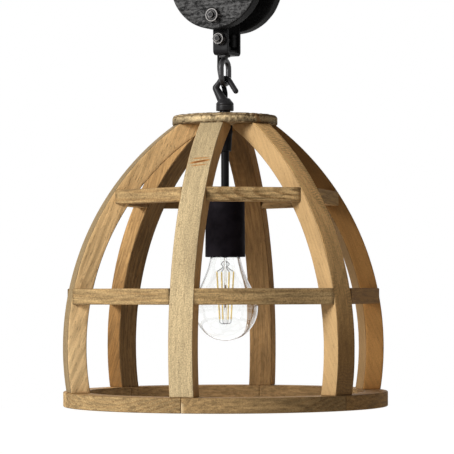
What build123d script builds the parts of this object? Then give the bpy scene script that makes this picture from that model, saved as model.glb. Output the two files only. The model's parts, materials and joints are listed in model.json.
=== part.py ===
"""Wooden pendant light hung under a pulley block, in millimetres.

+Z is up and the origin is the centre of the hanging eye's hole. The sheave's axle runs along Y.
The shade hangs from the block's eye bolt, a little in front of the block's middle.
Its heights are counted from the ring's underside.
"""

import os
from math import acos, cos, hypot, radians, sin, sqrt, tan

from build123d import *

os.makedirs("parts", exist_ok=True)

# Fits
THREAD_GAP = 0.05  # around every bolt, screw and threaded tube
RUNNING_GAP = 0.05  # radial, between a turning bore and its pin
SIDE_GAP = 0.3  # beside a piece that turns
SEAT_GAP = 0.25  # between the hook and the eye that carries it
LEAD_GAP = 0.4  # around the lead in the hook's slanting hole
CAP_GAP = 0.3  # between the bulb's cap and the screw sleeve
INSERT_GAP = 0.5  # between the holder's insert and its cup
NECK_GAP = 0.5  # between the bulb's neck and its cap
CUT_OVER = 1.0  # by which a cut runs past a face

# Hanging eye
HANG_HOLE_R = 9.0
HANG_RIM = 8.0
HANG_T = 8.0
HANG_TAIL_R = 8.0
HANG_TO_PIN = 30.0
SPACER_R = 6.0

# Bolts and nuts of the block
BOLT_R = 3.0
BOLT_FLATS = 10.0
CHEEK_BOLT_FLATS = 12.0
BOLT_HEAD_H = 4.0
NUT_H = 5.0
THIN_NUT_H = 2.0
BOLT_SHOWS = 2.5  # thread standing out of a nut
AXLE_R = 5.0
AXLE_FLATS = 16.0
AXLE_HEAD_H = 6.5
AXLE_NUT_H = 8.0

# Sheave, cheeks and strap
SHEAVE_R = 28.0
SHEAVE_W = 18.0
SHEAVE_HUB_R = 12.0
SHEAVE_TO_BOLT = 2.0
GROOVE_R = 5.0
GROOVE_OUT = 1.5  # groove's middle outside the sheave's rim
BUSH_WALL = 2.5
CHEEK_R = 45.2
CHEEK_T = 13.5
CHEEK_EDGE = 1.0
CHEEK_TO_PIN = 8.3  # cheek's rim to the upper strap bolt
CHEEK_TO_BOLT = 8.2  # cheek's rim to the lower strap bolt
STRAP_W = 15.0
STRAP_D = 28.5
STRAP_T = 3.0
STRAP_BEND_R = 4.5
BOLT_TO_PLATE = 14.4  # lower strap bolt to the plate's underside

# Eye bolt under the block
EYE_FORWARD = 4.5  # ahead of the block's middle
EYE_WIRE_R = 2.6
EYE_SPAN = 16.0  # between the two strands' middles
EYE_STRAIGHT = 6.1
EYE_DROP = 26.7  # plate's underside to the bar that carries the hook
EYE_BOLT_SHOWS = 1.5

# Supply terminal and lead
LEAD_R = 2.3
LEAD_INTO_TERMINAL = 8.0
LEAD_INTO_INSERT = 4.0
LEAD_BEND_UP = 1.5  # where the lead leaves the axis, above the hook's underside
LEAD_SPLIT = 0.72  # share of the slanting run at which the inner lead ends
LEAD_HOLE_START = 0.3  # share of the slanting run by which its hole begins early
TERMINAL_X = (-14.5, 5.5)
TERMINAL_D = 9.4
TERMINAL_GAP = 0.35  # to the strap's rear leg
TERMINAL_EDGE = 2.0
TERMINAL_UP = 6.5
TERMINAL_DOWN = 6.8

# Hook, with offsets from the bar that it hangs on
HOOK_H = 20.3  # underside to the bar
HOOK_WIRE_R = 2.4
HOOK_CORNER = (-9.5, -3.25)
HOOK_NECK_R = 3.2  # neck's radius at the corner
HOOK_BOW_HALF = 3.1
HOOK_TIP = (11.3, -7.1)
HOOK_CORNER_R = 2.8
HOOK_BOW_R = 3.0
HOOK_FOOT = (-1.5, 3.8)  # neck's foot, from the axis and the underside
HOOK_FOOT_R = 5.0
HOOK_BASE_R = 8.2
HOOK_BASE_RIM = 2.2
HOOK_BASE_H = 7.2
HOOK_BASE_TOP_R = 3.8

# Shade
SHADE_TURN = 11.0  # first rib, turned from the front towards +X
RIB_COUNT = 6
RING_R = 150.0
RING_W = 21.8
RING_H = 13.5
DISC_R = 48.8
DISC_T = 8.9
DISC_EDGE = 3.0
DISC_UP = 259.6
RIB_ARC_R = 253.4
RIB_W = 22.2
RIB_D = 17.8
RIB_HEEL_R = 21.0
RING_SETBACK = 2.3  # ring's edge to the rib's foot
DISC_SETBACK = 2.4  # disc's edge to the rib's head
SLAT_T = 12.0
MIDDLE_SLAT_UP = 93.9
MIDDLE_SLAT_H = 14.4
MIDDLE_SLAT_PROUD = 1.5  # its upper edge outside the ribs
UPPER_SLAT_UP = 185.4
UPPER_SLAT_H = 12.9
UPPER_SLAT_PROUD = 0.6
SCREW_R = 2.0
SCREW_TIP = 1.2
SCREW_HEAD_R = 4.0
SCREW_HEAD_H = 2.4
DISC_SCREW_L = 18.0
RING_SCREW_L = 28.0
RING_SCREW_ASIDE = 5.5

# Lamp fittings in the shade
NIPPLE_ROOM = 1.7  # around the lead in the nipple
NIPPLE_WALL = 1.0
NIPPLE_INTO_GLAND = 12.0
NIPPLE_INTO_HOOK = 3.0
NIPPLE_END_GAP = 0.3
DISC_NUT_FLATS = 15.0
DISC_NUT_H = 3.2
COLLAR_H = 4.7
COLLAR_LIFT = 1.5  # above the disc's nut
GLAND_WALL = 2.0
GLAND_FOOT_WALL = 2.1
GLAND_H = 24.0
STEM_ROOM = 0.7  # around the lead in the stem
STEM_WALL = 0.7
STEM_INTO_GLAND = 8.0
STEM_ABOVE_INSERT = 4.0
HOLDER_UP = 137.4
HOLDER_H = 62.0
HOLDER_WALL = 1.3
HOLDER_FLARE = 0.6  # wider at the mouth
HOLDER_SHOULDER_R = 6.5
INSERT_WALL = 2.25
INSERT_NECK_R = 8.0
INSERT_SKIRT_UP = 4.6  # above the cup's mouth
INSERT_CROWN_UP = 48.0
SOCKET_UP = 34.6  # ceiling of the socket above the cup's mouth
SLEEVE_WALL = 0.5
SLEEVE_FROM = 7.0
SLEEVE_TO = 29.0
TONGUE_R = 4.0
TONGUE_T = 1.5
TONGUE_GAP = 0.3

# Bulb, with depths counted down from the cap's lower edge
CAP_R = 13.1
CAP_WALL = 0.6
CAP_H = 25.0
INSULATOR_H = 2.4
INSULATOR_TOP_R = 5.0
CONTACT_R = 4.5
CONTACT_H = 2.2
BULB_R = 30.3
BULB_H = 81.0
BULB_WALL = 0.9
BULB_FLANK = ((14.2, 4.6), (16.4, 14.0), (20.9, 24.9), (26.0, 34.9))  # radius, depth
NECK_INTO_CAP = 6.4
FLARE_RIM = 2.5
FLARE_FOOT_R = 3.0
FLARE_LOW = 12.6
MOUNT_ROD_R = 1.6
MOUNT_ROD_LOW = 66.6
FILAMENT_R = 0.9
FILAMENT_TOP = (8.5, 17.7)  # distance from the axis, depth
FILAMENT_LOW = (5.8, 60.5)
FILAMENT_CAP = 0.6  # wire beyond a filament's end
FILAMENT_WIRE_R = 0.4
FILAMENT_COUNT = 4
FILAMENT_TURN = 50.0

# Sizes that follow from those above
BASE = (Align.CENTER, Align.CENTER, Align.MIN)
CHEEK_BOLT_DROP = SHEAVE_R + SHEAVE_TO_BOLT + BOLT_R
GAP_HALF = STRAP_D / 2 - STRAP_T
BLOCK_HALF = STRAP_D / 2 + CHEEK_T
BUSH_R = AXLE_R + BUSH_WALL
NIPPLE_BORE_R = LEAD_R + NIPPLE_ROOM
NIPPLE_R = NIPPLE_BORE_R + NIPPLE_WALL
STEM_BORE_R = LEAD_R + STEM_ROOM
STEM_R = STEM_BORE_R + STEM_WALL
SLEEVE_R = CAP_R + CAP_GAP + SLEEVE_WALL
INSERT_R = SLEEVE_R + THREAD_GAP + INSERT_WALL
HOLDER_TOP_R = INSERT_R + INSERT_GAP + HOLDER_WALL
HALF_STEP = radians(180.0 / RIB_COUNT)

# Heights in the shade
DISC_TOP = DISC_UP + DISC_T
COLLAR_UP = DISC_TOP + DISC_NUT_H + COLLAR_LIFT
HOOK_UP = COLLAR_UP + COLLAR_H
GLAND_LOW = DISC_UP - GLAND_H
HOLDER_TOP = HOLDER_UP + HOLDER_H
CROWN_TOP = HOLDER_UP + INSERT_CROWN_UP
STEM_LOW = CROWN_TOP + STEM_ABOVE_INSERT
SOCKET_TOP = HOLDER_UP + SOCKET_UP
CONTACT_TOP = SOCKET_TOP - TONGUE_T - TONGUE_GAP
INSULATOR_TOP = CONTACT_TOP - CONTACT_H
CAP_TOP = INSULATOR_TOP - INSULATOR_H
CAP_LOW = CAP_TOP - CAP_H
NECK_TOP = CAP_LOW + NECK_INTO_CAP

# Heights in the whole light
PIN_Z = -HANG_TO_PIN
AXLE_Z = PIN_Z - CHEEK_TO_PIN - CHEEK_R
LOW_BOLT_Z = AXLE_Z - CHEEK_R - CHEEK_TO_BOLT
PLATE_Z = LOW_BOLT_Z - BOLT_TO_PLATE
BAR_Z = PLATE_Z - EYE_DROP
SHADE_Z = BAR_Z - HOOK_H - HOOK_UP


def arc_middle(low, high, radius):
    """Middle of the arc of that radius that bulges outward between two (distance, height) points."""
    across, up = high[0] - low[0], high[1] - low[1]
    chord = hypot(across, up)
    back = sqrt(radius**2 - chord**2 / 4) / chord
    return (low[0] + high[0]) / 2 - back * up, (low[1] + high[1]) / 2 + back * across


RIB_ARC_AT = arc_middle((RING_R - RING_SETBACK, RING_H), (DISC_R - DISC_SETBACK, DISC_UP), RIB_ARC_R)


def rib_reach(up, depth=0.0):
    """Rib's distance from the axis at a height, on its outer arc or a depth inside it."""
    return RIB_ARC_AT[0] + sqrt((RIB_ARC_R - depth) ** 2 - (up - RIB_ARC_AT[1]) ** 2)


def rod_y(radius, y0, y1, x=0.0, z=0.0):
    """Round bar along Y."""
    return Pos(x, y0, z) * Rot(-90, 0, 0) * Cylinder(radius, y1 - y0, align=BASE)


def rod_z(radius, z0, z1, x=0.0, y=0.0):
    """Round bar along Z."""
    return Pos(x, y, z0) * Cylinder(radius, z1 - z0, align=BASE)


def hex_z(flats, z0, z1):
    """Hexagonal bar along Z with flats facing front and rear."""
    return Pos(0, 0, z0) * extrude(RegularPolygon(flats / 2, 6, major_radius=False), z1 - z0)


def hex_y(flats, y0, y1, x=0.0, z=0.0):
    """Hexagonal bar along Y."""
    return Pos(x, y0, z) * Rot(-90, 0, 0) * hex_z(flats, 0, y1 - y0)


def bolt_y(radius, flats, head, front, rear, z):
    """Hexagon-headed bolt along Y with its head behind."""
    return rod_y(radius, front, rear, z=z) + hex_y(flats, rear, rear + head, z=z)


def nut_y(radius, flats, seat, height, z):
    """Nut on a bolt's front end."""
    return hex_y(flats, seat - height, seat, z=z) - rod_y(radius + THREAD_GAP, seat - height, seat, z=z)


def turned(*points):
    """Solid turned about Z from its (radius, height) outline."""
    return revolve(Plane.XZ * make_face(Polyline(*points, close=True)), Axis.Z)


def tube(outer, inner, z0, z1):
    """Straight tube along Z."""
    return rod_z(outer, z0, z1) - rod_z(inner, z0, z1)


def top_circle(solid):
    """Highest round edge of a turned solid, the widest where two are level."""
    return solid.edges().filter_by(GeomType.CIRCLE).sort_by(Axis.Z)[-1]


def bar_between(start, end, radius, end_radius=None):
    """Straight round bar, or a tapered one, between two points."""
    a, b = Vector(*start), Vector(*end)
    place = Plane(origin=a, z_dir=b - a)
    if end_radius is None:
        return place * Cylinder(radius, (b - a).length, align=BASE)
    return place * Cone(radius, end_radius, (b - a).length, align=BASE)


def round_corners(points):
    """Largest sensible radius for each corner of a path."""
    radii = []
    for p, q, r in zip(points, points[1:], points[2:]):
        a, b = Vector(*q) - Vector(*p), Vector(*r) - Vector(*q)
        turn = acos(max(-1.0, min(1.0, a.dot(b) / (a.length * b.length))))
        radii.append(0.45 * min(a.length, b.length) / tan(turn / 2))
    return radii


def cord(points, radius):
    """Round lead along straight runs joined by tangent arcs."""
    radii = round_corners(points)
    print("lead corner radii", [round(r, 1) for r in radii])
    path = FilletPolyline(*points, radius=radii)
    print("lead length", round(path.length, 1))
    return sweep(Plane(path ^ 0) * Circle(radius), path=path)


def at_rib(number, between=False):
    """Placement that turns +X to a rib, or to the middle between that rib and the next."""
    step = 360.0 / RIB_COUNT
    return Rot(0, 0, SHADE_TURN - 90 + step * (number + (0.5 if between else 0.0)))


def in_shade(solid):
    """Carries a piece from the shade's own heights to its place under the eye bolt."""
    return Pos(0, -EYE_FORWARD, SHADE_Z) * solid


parts = {}

# Hanging eye
tail = Pos(0, PIN_Z) * Circle(HANG_TAIL_R)
head = Circle(HANG_HOLE_R + HANG_RIM)
lug = extrude(Plane.XZ * (make_hull(head.edges() + tail.edges()) - Circle(HANG_HOLE_R)), HANG_T / 2, both=True)
parts["hanging_eye"] = lug - rod_y(BOLT_R + RUNNING_GAP, -HANG_T, HANG_T, z=PIN_Z)

# Cheeks
for name, side in (("front_cheek", -1), ("rear_cheek", 1)):
    y0, y1 = sorted((side * STRAP_D / 2, side * BLOCK_HALF))
    cheek = rod_y(CHEEK_R, y0, y1, z=AXLE_Z)
    cheek = chamfer(cheek.edges().filter_by(GeomType.CIRCLE), CHEEK_EDGE)
    cheek -= rod_y(AXLE_R + THREAD_GAP, y0, y1, z=AXLE_Z)
    for drop in (CHEEK_BOLT_DROP, -CHEEK_BOLT_DROP):
        cheek -= rod_y(BOLT_R + THREAD_GAP, y0, y1, z=AXLE_Z - drop)
    parts[name] = cheek


def make_strap():
    """Flat bar bent to a U, its legs inside the cheeks and its plate under the block."""
    tall = PIN_Z + STRAP_W - PLATE_Z
    outer = Pos(0, PLATE_Z + tall / 2) * Rectangle(STRAP_D, tall)
    outer = fillet(outer.vertices().sort_by(Axis.Y)[:2], STRAP_BEND_R)
    inner = Pos(0, PLATE_Z + STRAP_T + tall / 2) * Rectangle(2 * GAP_HALF, tall)
    inner = fillet(inner.vertices().sort_by(Axis.Y)[:2], STRAP_BEND_R - STRAP_T)
    bar = extrude(Plane.YZ * (outer - inner), STRAP_W / 2, both=True)
    leg = Pos(0, (PIN_Z + PLATE_Z) / 2) * Rectangle(STRAP_W, PIN_Z - PLATE_Z)
    leg += Pos(0, PIN_Z) * Circle(STRAP_W / 2)
    bar &= extrude(Plane.XZ * leg, STRAP_D, both=True)
    for z in (PIN_Z, LOW_BOLT_Z, AXLE_Z - CHEEK_BOLT_DROP, AXLE_Z + CHEEK_BOLT_DROP):
        bar -= rod_y(BOLT_R + THREAD_GAP, -STRAP_D, STRAP_D, z=z)
    bar -= rod_y(AXLE_R + THREAD_GAP, -STRAP_D, STRAP_D, z=AXLE_Z)
    return bar - rod_z(BOLT_R + THREAD_GAP, PLATE_Z - CUT_OVER, PLATE_Z + STRAP_T + CUT_OVER, y=-EYE_FORWARD)


parts["strap"] = make_strap()

# Bolts, nuts and spacers of the block
axle_front = -BLOCK_HALF - AXLE_NUT_H - BOLT_SHOWS
parts["axle_bolt"] = bolt_y(AXLE_R, AXLE_FLATS, AXLE_HEAD_H, axle_front, BLOCK_HALF, AXLE_Z)
parts["axle_nut"] = nut_y(AXLE_R, AXLE_FLATS, -BLOCK_HALF, AXLE_NUT_H, AXLE_Z)
nuts = []
for name, flats, seat, heights in (
    ("cheek_bolts", CHEEK_BOLT_FLATS, BLOCK_HALF, (AXLE_Z - CHEEK_BOLT_DROP, AXLE_Z + CHEEK_BOLT_DROP)),
    ("strap_bolts", BOLT_FLATS, STRAP_D / 2, (PIN_Z, LOW_BOLT_Z)),
):
    front = -seat - NUT_H - BOLT_SHOWS
    parts[name] = Compound([bolt_y(BOLT_R, flats, BOLT_HEAD_H, front, seat, z) for z in heights])
    nuts += [nut_y(BOLT_R, flats, -seat, NUT_H, z) for z in heights]
parts["block_nuts"] = Compound(nuts)
spacers = []
for y0, y1 in ((-GAP_HALF, -HANG_T / 2 - SIDE_GAP), (HANG_T / 2 + SIDE_GAP, GAP_HALF)):
    spacers.append(rod_y(SPACER_R, y0, y1, z=PIN_Z) - rod_y(BOLT_R + THREAD_GAP, y0, y1, z=PIN_Z))
parts["pin_spacers"] = Compound(spacers)

# Sheave
hub_length = 2 * (GAP_HALF - SIDE_GAP)
wheel = Cylinder(SHEAVE_R, SHEAVE_W) + Cylinder(SHEAVE_HUB_R, hub_length)
wheel -= Torus(SHEAVE_R + GROOVE_OUT, GROOVE_R)
wheel -= Cylinder(BUSH_R + THREAD_GAP, STRAP_D)
bush = Cylinder(BUSH_R, hub_length) - Cylinder(AXLE_R + RUNNING_GAP, STRAP_D)
parts["sheave"] = Pos(0, 0, AXLE_Z) * Rot(-90, 0, 0) * wheel
parts["sheave_bush"] = Pos(0, 0, AXLE_Z) * Rot(-90, 0, 0) * bush


def make_eye_bolt():
    """Long closed eye, its bar below and its threaded shank through the strap's plate."""
    half = EYE_SPAN / 2
    middle = BAR_Z + half + EYE_STRAIGHT / 2
    loop = Plane.YZ * Pos(-EYE_FORWARD, middle) * SlotCenterToCenter(EYE_STRAIGHT, EYE_SPAN, rotation=90)
    path = loop.face().outer_wire()
    eye = sweep(Plane(path ^ 0) * Circle(EYE_WIRE_R), path=path)
    top = BAR_Z + EYE_SPAN + EYE_STRAIGHT
    return eye + rod_z(BOLT_R, top, PLATE_Z + STRAP_T + NUT_H + EYE_BOLT_SHOWS, y=-EYE_FORWARD)


parts["eye_bolt"] = make_eye_bolt()
eye_nuts = []
for z0, height in ((PLATE_Z - THIN_NUT_H, THIN_NUT_H), (PLATE_Z + STRAP_T, NUT_H)):
    nut = hex_z(BOLT_FLATS, z0, z0 + height) - rod_z(BOLT_R + THREAD_GAP, z0, z0 + height)
    eye_nuts.append(Pos(0, -EYE_FORWARD, 0) * nut)
parts["eye_nuts"] = Compound(eye_nuts)

# Supply lead: up the shade's axis, out of the hook's base behind its neck, then beside the strap to the terminal
terminal_rear = GAP_HALF - TERMINAL_GAP
lead_rise_y = terminal_rear - TERMINAL_D / 2
LEAD_START = (0.0, -EYE_FORWARD, SHADE_Z + CROWN_TOP - LEAD_INTO_INSERT)
LEAD_BEND = (0.0, -EYE_FORWARD, SHADE_Z + HOOK_UP + LEAD_BEND_UP)
LEAD_BEHIND_HOOK = (-2.4, 1.6, BAR_Z - 6.5)
LEAD_BESIDE_EYE = (-9.6, 4.0, BAR_Z + 11.5)
LEAD_BESIDE_STRAP = (-10.5, lead_rise_y, PLATE_Z - 3.0)
LEAD_END = (-10.5, lead_rise_y, LOW_BOLT_Z - TERMINAL_DOWN + LEAD_INTO_TERMINAL)
LEAD_JOIN = tuple(a + LEAD_SPLIT * (b - a) for a, b in zip(LEAD_BEND, LEAD_BEHIND_HOOK))
parts["lead_outer"] = cord([LEAD_JOIN, LEAD_BEHIND_HOOK, LEAD_BESIDE_EYE, LEAD_BESIDE_STRAP, LEAD_END], LEAD_R)
parts["lead_inner"] = cord([LEAD_START, LEAD_BEND, LEAD_JOIN], LEAD_R)

terminal = Box(TERMINAL_X[1] - TERMINAL_X[0], TERMINAL_D, TERMINAL_UP + TERMINAL_DOWN)
terminal = fillet(terminal.edges().filter_by(Axis.Y), TERMINAL_EDGE)
terminal = Pos(sum(TERMINAL_X) / 2, lead_rise_y, LOW_BOLT_Z + (TERMINAL_UP - TERMINAL_DOWN) / 2) * terminal
terminal -= rod_y(BOLT_R + THREAD_GAP, -STRAP_D, STRAP_D, z=LOW_BOLT_Z)
entry = LEAD_END[2] - LEAD_INTO_TERMINAL - CUT_OVER
parts["lead_terminal"] = terminal - rod_z(LEAD_R + LEAD_GAP / 2, entry, LEAD_END[2], LEAD_END[0], LEAD_END[1])


def make_hook():
    """Forged hook: bow over the eye's bar, thick neck and a round base that takes the nipple and the lead."""
    bow = HOOK_WIRE_R + EYE_WIRE_R + SEAT_GAP
    foot = (HOOK_FOOT[0], HOOK_FOOT[1] - HOOK_H)
    spots = [foot, HOOK_CORNER, (-HOOK_BOW_HALF, bow), (HOOK_BOW_HALF, bow), HOOK_TIP]
    points = [(x, -EYE_FORWARD, BAR_Z + z) for x, z in spots]
    path = FilletPolyline(*points, radius=[HOOK_CORNER_R, HOOK_BOW_R, HOOK_BOW_R])
    body = sweep(Plane(path ^ 0) * Circle(HOOK_WIRE_R), path=path)
    body += Pos(*points[-1]) * Sphere(HOOK_WIRE_R)
    body += bar_between(points[0], points[1], HOOK_FOOT_R, HOOK_NECK_R) + Pos(*points[1]) * Sphere(HOOK_NECK_R)
    rim, high = HOOK_UP + HOOK_BASE_RIM, HOOK_UP + HOOK_BASE_H
    base = turned((0, HOOK_UP), (HOOK_BASE_R, HOOK_UP), (HOOK_BASE_R, rim), (HOOK_BASE_TOP_R, high), (0, high))
    body += in_shade(base)
    body -= in_shade(rod_z(2 * HOOK_BASE_R, DISC_TOP, HOOK_UP))
    body -= in_shade(rod_z(NIPPLE_R + THREAD_GAP, HOOK_UP, HOOK_UP + NIPPLE_INTO_HOOK + NIPPLE_END_GAP))
    way = Vector(*LEAD_BEHIND_HOOK) - Vector(*LEAD_BEND)
    below = Vector(*LEAD_BEND) - way * LEAD_HOLE_START
    return body - bar_between(tuple(below), LEAD_BEHIND_HOOK, LEAD_R + LEAD_GAP)


parts["hook"] = make_hook()

# Screws of the shade, in the middle of each rib's head and foot
head_from = max(RIB_HEEL_R, rib_reach(DISC_UP, RIB_D))
disc_screw_at = (rib_reach(DISC_UP) + head_from) / 2
ring_screw_at = (rib_reach(RING_H) + rib_reach(RING_H, RIB_D)) / 2
disc_screws = [at_rib(k) * Pos(disc_screw_at, 0, DISC_TOP) for k in range(RIB_COUNT)]
ring_screws = [
    at_rib(k) * Pos(ring_screw_at, side * RING_SCREW_ASIDE, 0) * Rot(180, 0, 0)
    for k in range(RIB_COUNT)
    for side in (-1, 1)
]


def screw(length, grow=0.0):
    """Countersunk screw, or its hole, with its flat head on top at height zero."""
    shank, top = SCREW_R + grow, SCREW_HEAD_R + grow
    return turned((0, 0), (top, 0), (shank, -SCREW_HEAD_H), (shank, -length), (0, -length - SCREW_TIP - grow))


def less_screws(solid, places, length):
    """Cuts the screws' holes where they meet a piece."""
    for place in places:
        solid = solid - place * screw(length, THREAD_GAP)
    return solid


# Shade's wood
disc = rod_z(DISC_R, DISC_UP, DISC_TOP)
disc = fillet(top_circle(disc), DISC_EDGE)
disc -= rod_z(NIPPLE_R + THREAD_GAP, DISC_UP, DISC_TOP)
parts["top_disc"] = in_shade(less_screws(disc, disc_screws, DISC_SCREW_L))

plank = Pos(*RIB_ARC_AT) * (Circle(RIB_ARC_R) - Circle(RIB_ARC_R - RIB_D))
plank &= Pos(RIB_HEEL_R + RING_R / 2, (RING_H + DISC_UP) / 2) * Rectangle(RING_R, DISC_UP - RING_H)
rib = at_rib(0) * extrude(Plane.XZ * plank, RIB_W / 2, both=True)
rib = less_screws(rib, disc_screws[:1], DISC_SCREW_L)
rib = at_rib(0).inverse() * less_screws(rib, ring_screws[:2], RING_SCREW_L)


def slat(up, height, proud):
    """Straight slat between two ribs, its ends cut to lie on their sides."""
    corner = rib_reach(up + height) + proud
    face = corner * cos(HALF_STEP) + RIB_W / 2 * sin(HALF_STEP)
    back = face - SLAT_T

    def end(x):
        return x * tan(HALF_STEP) - RIB_W / 2 / cos(HALF_STEP)

    outline = Polyline((face, -end(face)), (face, end(face)), (back, end(back)), (back, -end(back)), close=True)
    return Pos(0, 0, up) * extrude(make_face(outline), height)


far = 2 * RING_R
sector = make_face(Polyline((0, 0), (far, -far * tan(HALF_STEP)), (far, far * tan(HALF_STEP)), close=True))
segment = at_rib(0, True) * extrude((Circle(RING_R) - Circle(RING_R - RING_W)) & sector, RING_H)
segment = at_rib(0, True).inverse() * less_screws(segment, ring_screws[:4], RING_SCREW_L)
upper = slat(UPPER_SLAT_UP, UPPER_SLAT_H, UPPER_SLAT_PROUD)
middle = slat(MIDDLE_SLAT_UP, MIDDLE_SLAT_H, MIDDLE_SLAT_PROUD)
for k in range(RIB_COUNT):
    parts[f"rib_{k + 1}"] = in_shade(at_rib(k) * rib)
    parts[f"upper_slat_{k + 1}"] = in_shade(at_rib(k, True) * upper)
    parts[f"middle_slat_{k + 1}"] = in_shade(at_rib(k, True) * middle)
    parts[f"ring_segment_{k + 1}"] = in_shade(at_rib(k, True) * segment)
parts["disc_screws"] = Compound([in_shade(place * screw(DISC_SCREW_L)) for place in disc_screws])
parts["ring_screws"] = Compound([in_shade(place * screw(RING_SCREW_L)) for place in ring_screws])

# Fittings on the shade's axis
nipple_low = DISC_UP - NIPPLE_INTO_GLAND
parts["nipple"] = in_shade(tube(NIPPLE_R, NIPPLE_BORE_R, nipple_low, HOOK_UP + NIPPLE_INTO_HOOK))
disc_nut = hex_z(DISC_NUT_FLATS, DISC_TOP, DISC_TOP + DISC_NUT_H)
parts["disc_nut"] = in_shade(disc_nut - rod_z(NIPPLE_R + THREAD_GAP, DISC_TOP, DISC_TOP + DISC_NUT_H))
parts["hook_collar"] = in_shade(tube(HOOK_BASE_R, NIPPLE_R + THREAD_GAP, COLLAR_UP, HOOK_UP))
gland_foot = STEM_R + GLAND_FOOT_WALL
gland = turned((0, GLAND_LOW), (gland_foot, GLAND_LOW), (NIPPLE_R + GLAND_WALL, DISC_UP), (0, DISC_UP))
gland -= rod_z(NIPPLE_R + THREAD_GAP, nipple_low, DISC_UP)
gland -= rod_z(STEM_R + THREAD_GAP, GLAND_LOW, GLAND_LOW + STEM_INTO_GLAND)
parts["gland"] = in_shade(gland - rod_z(STEM_BORE_R, GLAND_LOW, DISC_UP))
parts["stem"] = in_shade(tube(STEM_R, STEM_BORE_R, STEM_LOW, GLAND_LOW + STEM_INTO_GLAND))


def make_holder_cup():
    """Thin cup with a round shoulder, a little wider at its mouth, and a hole for the stem."""
    shells = []
    for wall in (0.0, HOLDER_WALL):
        mouth, roof, top = HOLDER_TOP_R + HOLDER_FLARE - wall, HOLDER_TOP_R - wall, HOLDER_TOP - wall
        shell = turned((0, HOLDER_UP), (mouth, HOLDER_UP), (roof, top), (0, top))
        shells.append(fillet(top_circle(shell), HOLDER_SHOULDER_R - wall))
    return shells[0] - shells[1] - rod_z(STEM_R + THREAD_GAP, HOLDER_UP, HOLDER_TOP)


parts["holder_cup"] = in_shade(make_holder_cup())
skirt, roof = HOLDER_UP + INSERT_SKIRT_UP, HOLDER_TOP - HOLDER_WALL
insert = rod_z(INSERT_R, skirt, CROWN_TOP) + rod_z(INSERT_NECK_R, CROWN_TOP, roof)
insert -= rod_z(SLEEVE_R + THREAD_GAP, skirt, SOCKET_TOP)
insert -= rod_z(STEM_R + THREAD_GAP, STEM_LOW, roof)
parts["holder_insert"] = in_shade(insert - rod_z(STEM_BORE_R, CROWN_TOP - LEAD_INTO_INSERT, roof))
sleeve = tube(SLEEVE_R, SLEEVE_R - SLEEVE_WALL, HOLDER_UP + SLEEVE_FROM, HOLDER_UP + SLEEVE_TO)
tongue = rod_z(TONGUE_R, SOCKET_TOP - TONGUE_T, SOCKET_TOP)
parts["holder_contacts"] = Compound([in_shade(sleeve), in_shade(tongue)])


# Bulb
def make_glass():
    """Round-ended glass with a narrow neck, hollow and of one thickness."""
    middle = CAP_LOW - BULB_H + BULB_R
    shells = []
    for wall in (0.0, BULB_WALL):
        neck, belly = CAP_R - CAP_WALL - NECK_GAP - wall, BULB_R - wall
        flank = [(neck, CAP_LOW)] + [(r - wall, CAP_LOW - depth) for r, depth in BULB_FLANK] + [(belly, middle)]
        side = Spline(*flank, tangents=((0, -1), (0, -1)))
        low = RadiusArc((belly, middle), (0, middle - belly), belly)
        edges = [Line((0, NECK_TOP), (neck, NECK_TOP)), Line((neck, NECK_TOP), (neck, CAP_LOW))]
        edges += [side, low, Line((0, middle - belly), (0, NECK_TOP))]
        shells.append(revolve(Plane.XZ * make_face(edges), Axis.Z))
    return shells[0] - shells[1]


parts["bulb_glass"] = in_shade(make_glass())
parts["bulb_cap"] = in_shade(tube(CAP_R, CAP_R - CAP_WALL, CAP_LOW, CAP_TOP))
parts["bulb_insulator"] = in_shade(
    turned((0, CAP_TOP), (CAP_R, CAP_TOP), (INSULATOR_TOP_R, INSULATOR_TOP), (0, INSULATOR_TOP))
)
parts["bulb_contact"] = in_shade(rod_z(CONTACT_R, INSULATOR_TOP, CONTACT_TOP))
flare_low = CAP_LOW - FLARE_LOW
flare_r = CAP_R - CAP_WALL - NECK_GAP - BULB_WALL - THREAD_GAP
flare = [(0, flare_low), (FLARE_FOOT_R, flare_low), (flare_r, NECK_TOP - FLARE_RIM)]
flare += [(flare_r, NECK_TOP), (0, NECK_TOP)]
parts["bulb_mount"] = in_shade(turned(*flare))


def filament_ends(number):
    """Upper and lower end of a filament, which leans inward on the way down."""
    a = radians(FILAMENT_TURN + 360.0 / FILAMENT_COUNT * number)
    return [Vector(r * cos(a), r * sin(a), CAP_LOW - depth) for r, depth in (FILAMENT_TOP, FILAMENT_LOW)]


wires = rod_z(MOUNT_ROD_R, CAP_LOW - MOUNT_ROD_LOW, flare_low)
sticks = []
for k in range(FILAMENT_COUNT):
    high, low = filament_ends(k)
    cap = (high - low).normalized() * FILAMENT_CAP
    wires += bar_between((0, 0, high.Z + FILAMENT_CAP), tuple(high + cap), FILAMENT_WIRE_R)
    wires += bar_between((0, 0, low.Z - FILAMENT_CAP), tuple(low - cap), FILAMENT_WIRE_R)
    sticks.append(bar_between(tuple(low), tuple(high), FILAMENT_R))
for stick in sticks:
    wires -= stick
parts["filament_wires"] = in_shade(wires)
parts["filaments"] = Compound([in_shade(stick) for stick in sticks])

for name, solid in parts.items():
    export_step(solid, f"parts/{name}.step")
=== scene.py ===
"""Looks of a wooden pendant light, laid out as a Blender add-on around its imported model."""

import json
import math

import bpy
import numpy as np
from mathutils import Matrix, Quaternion, Vector

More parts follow.
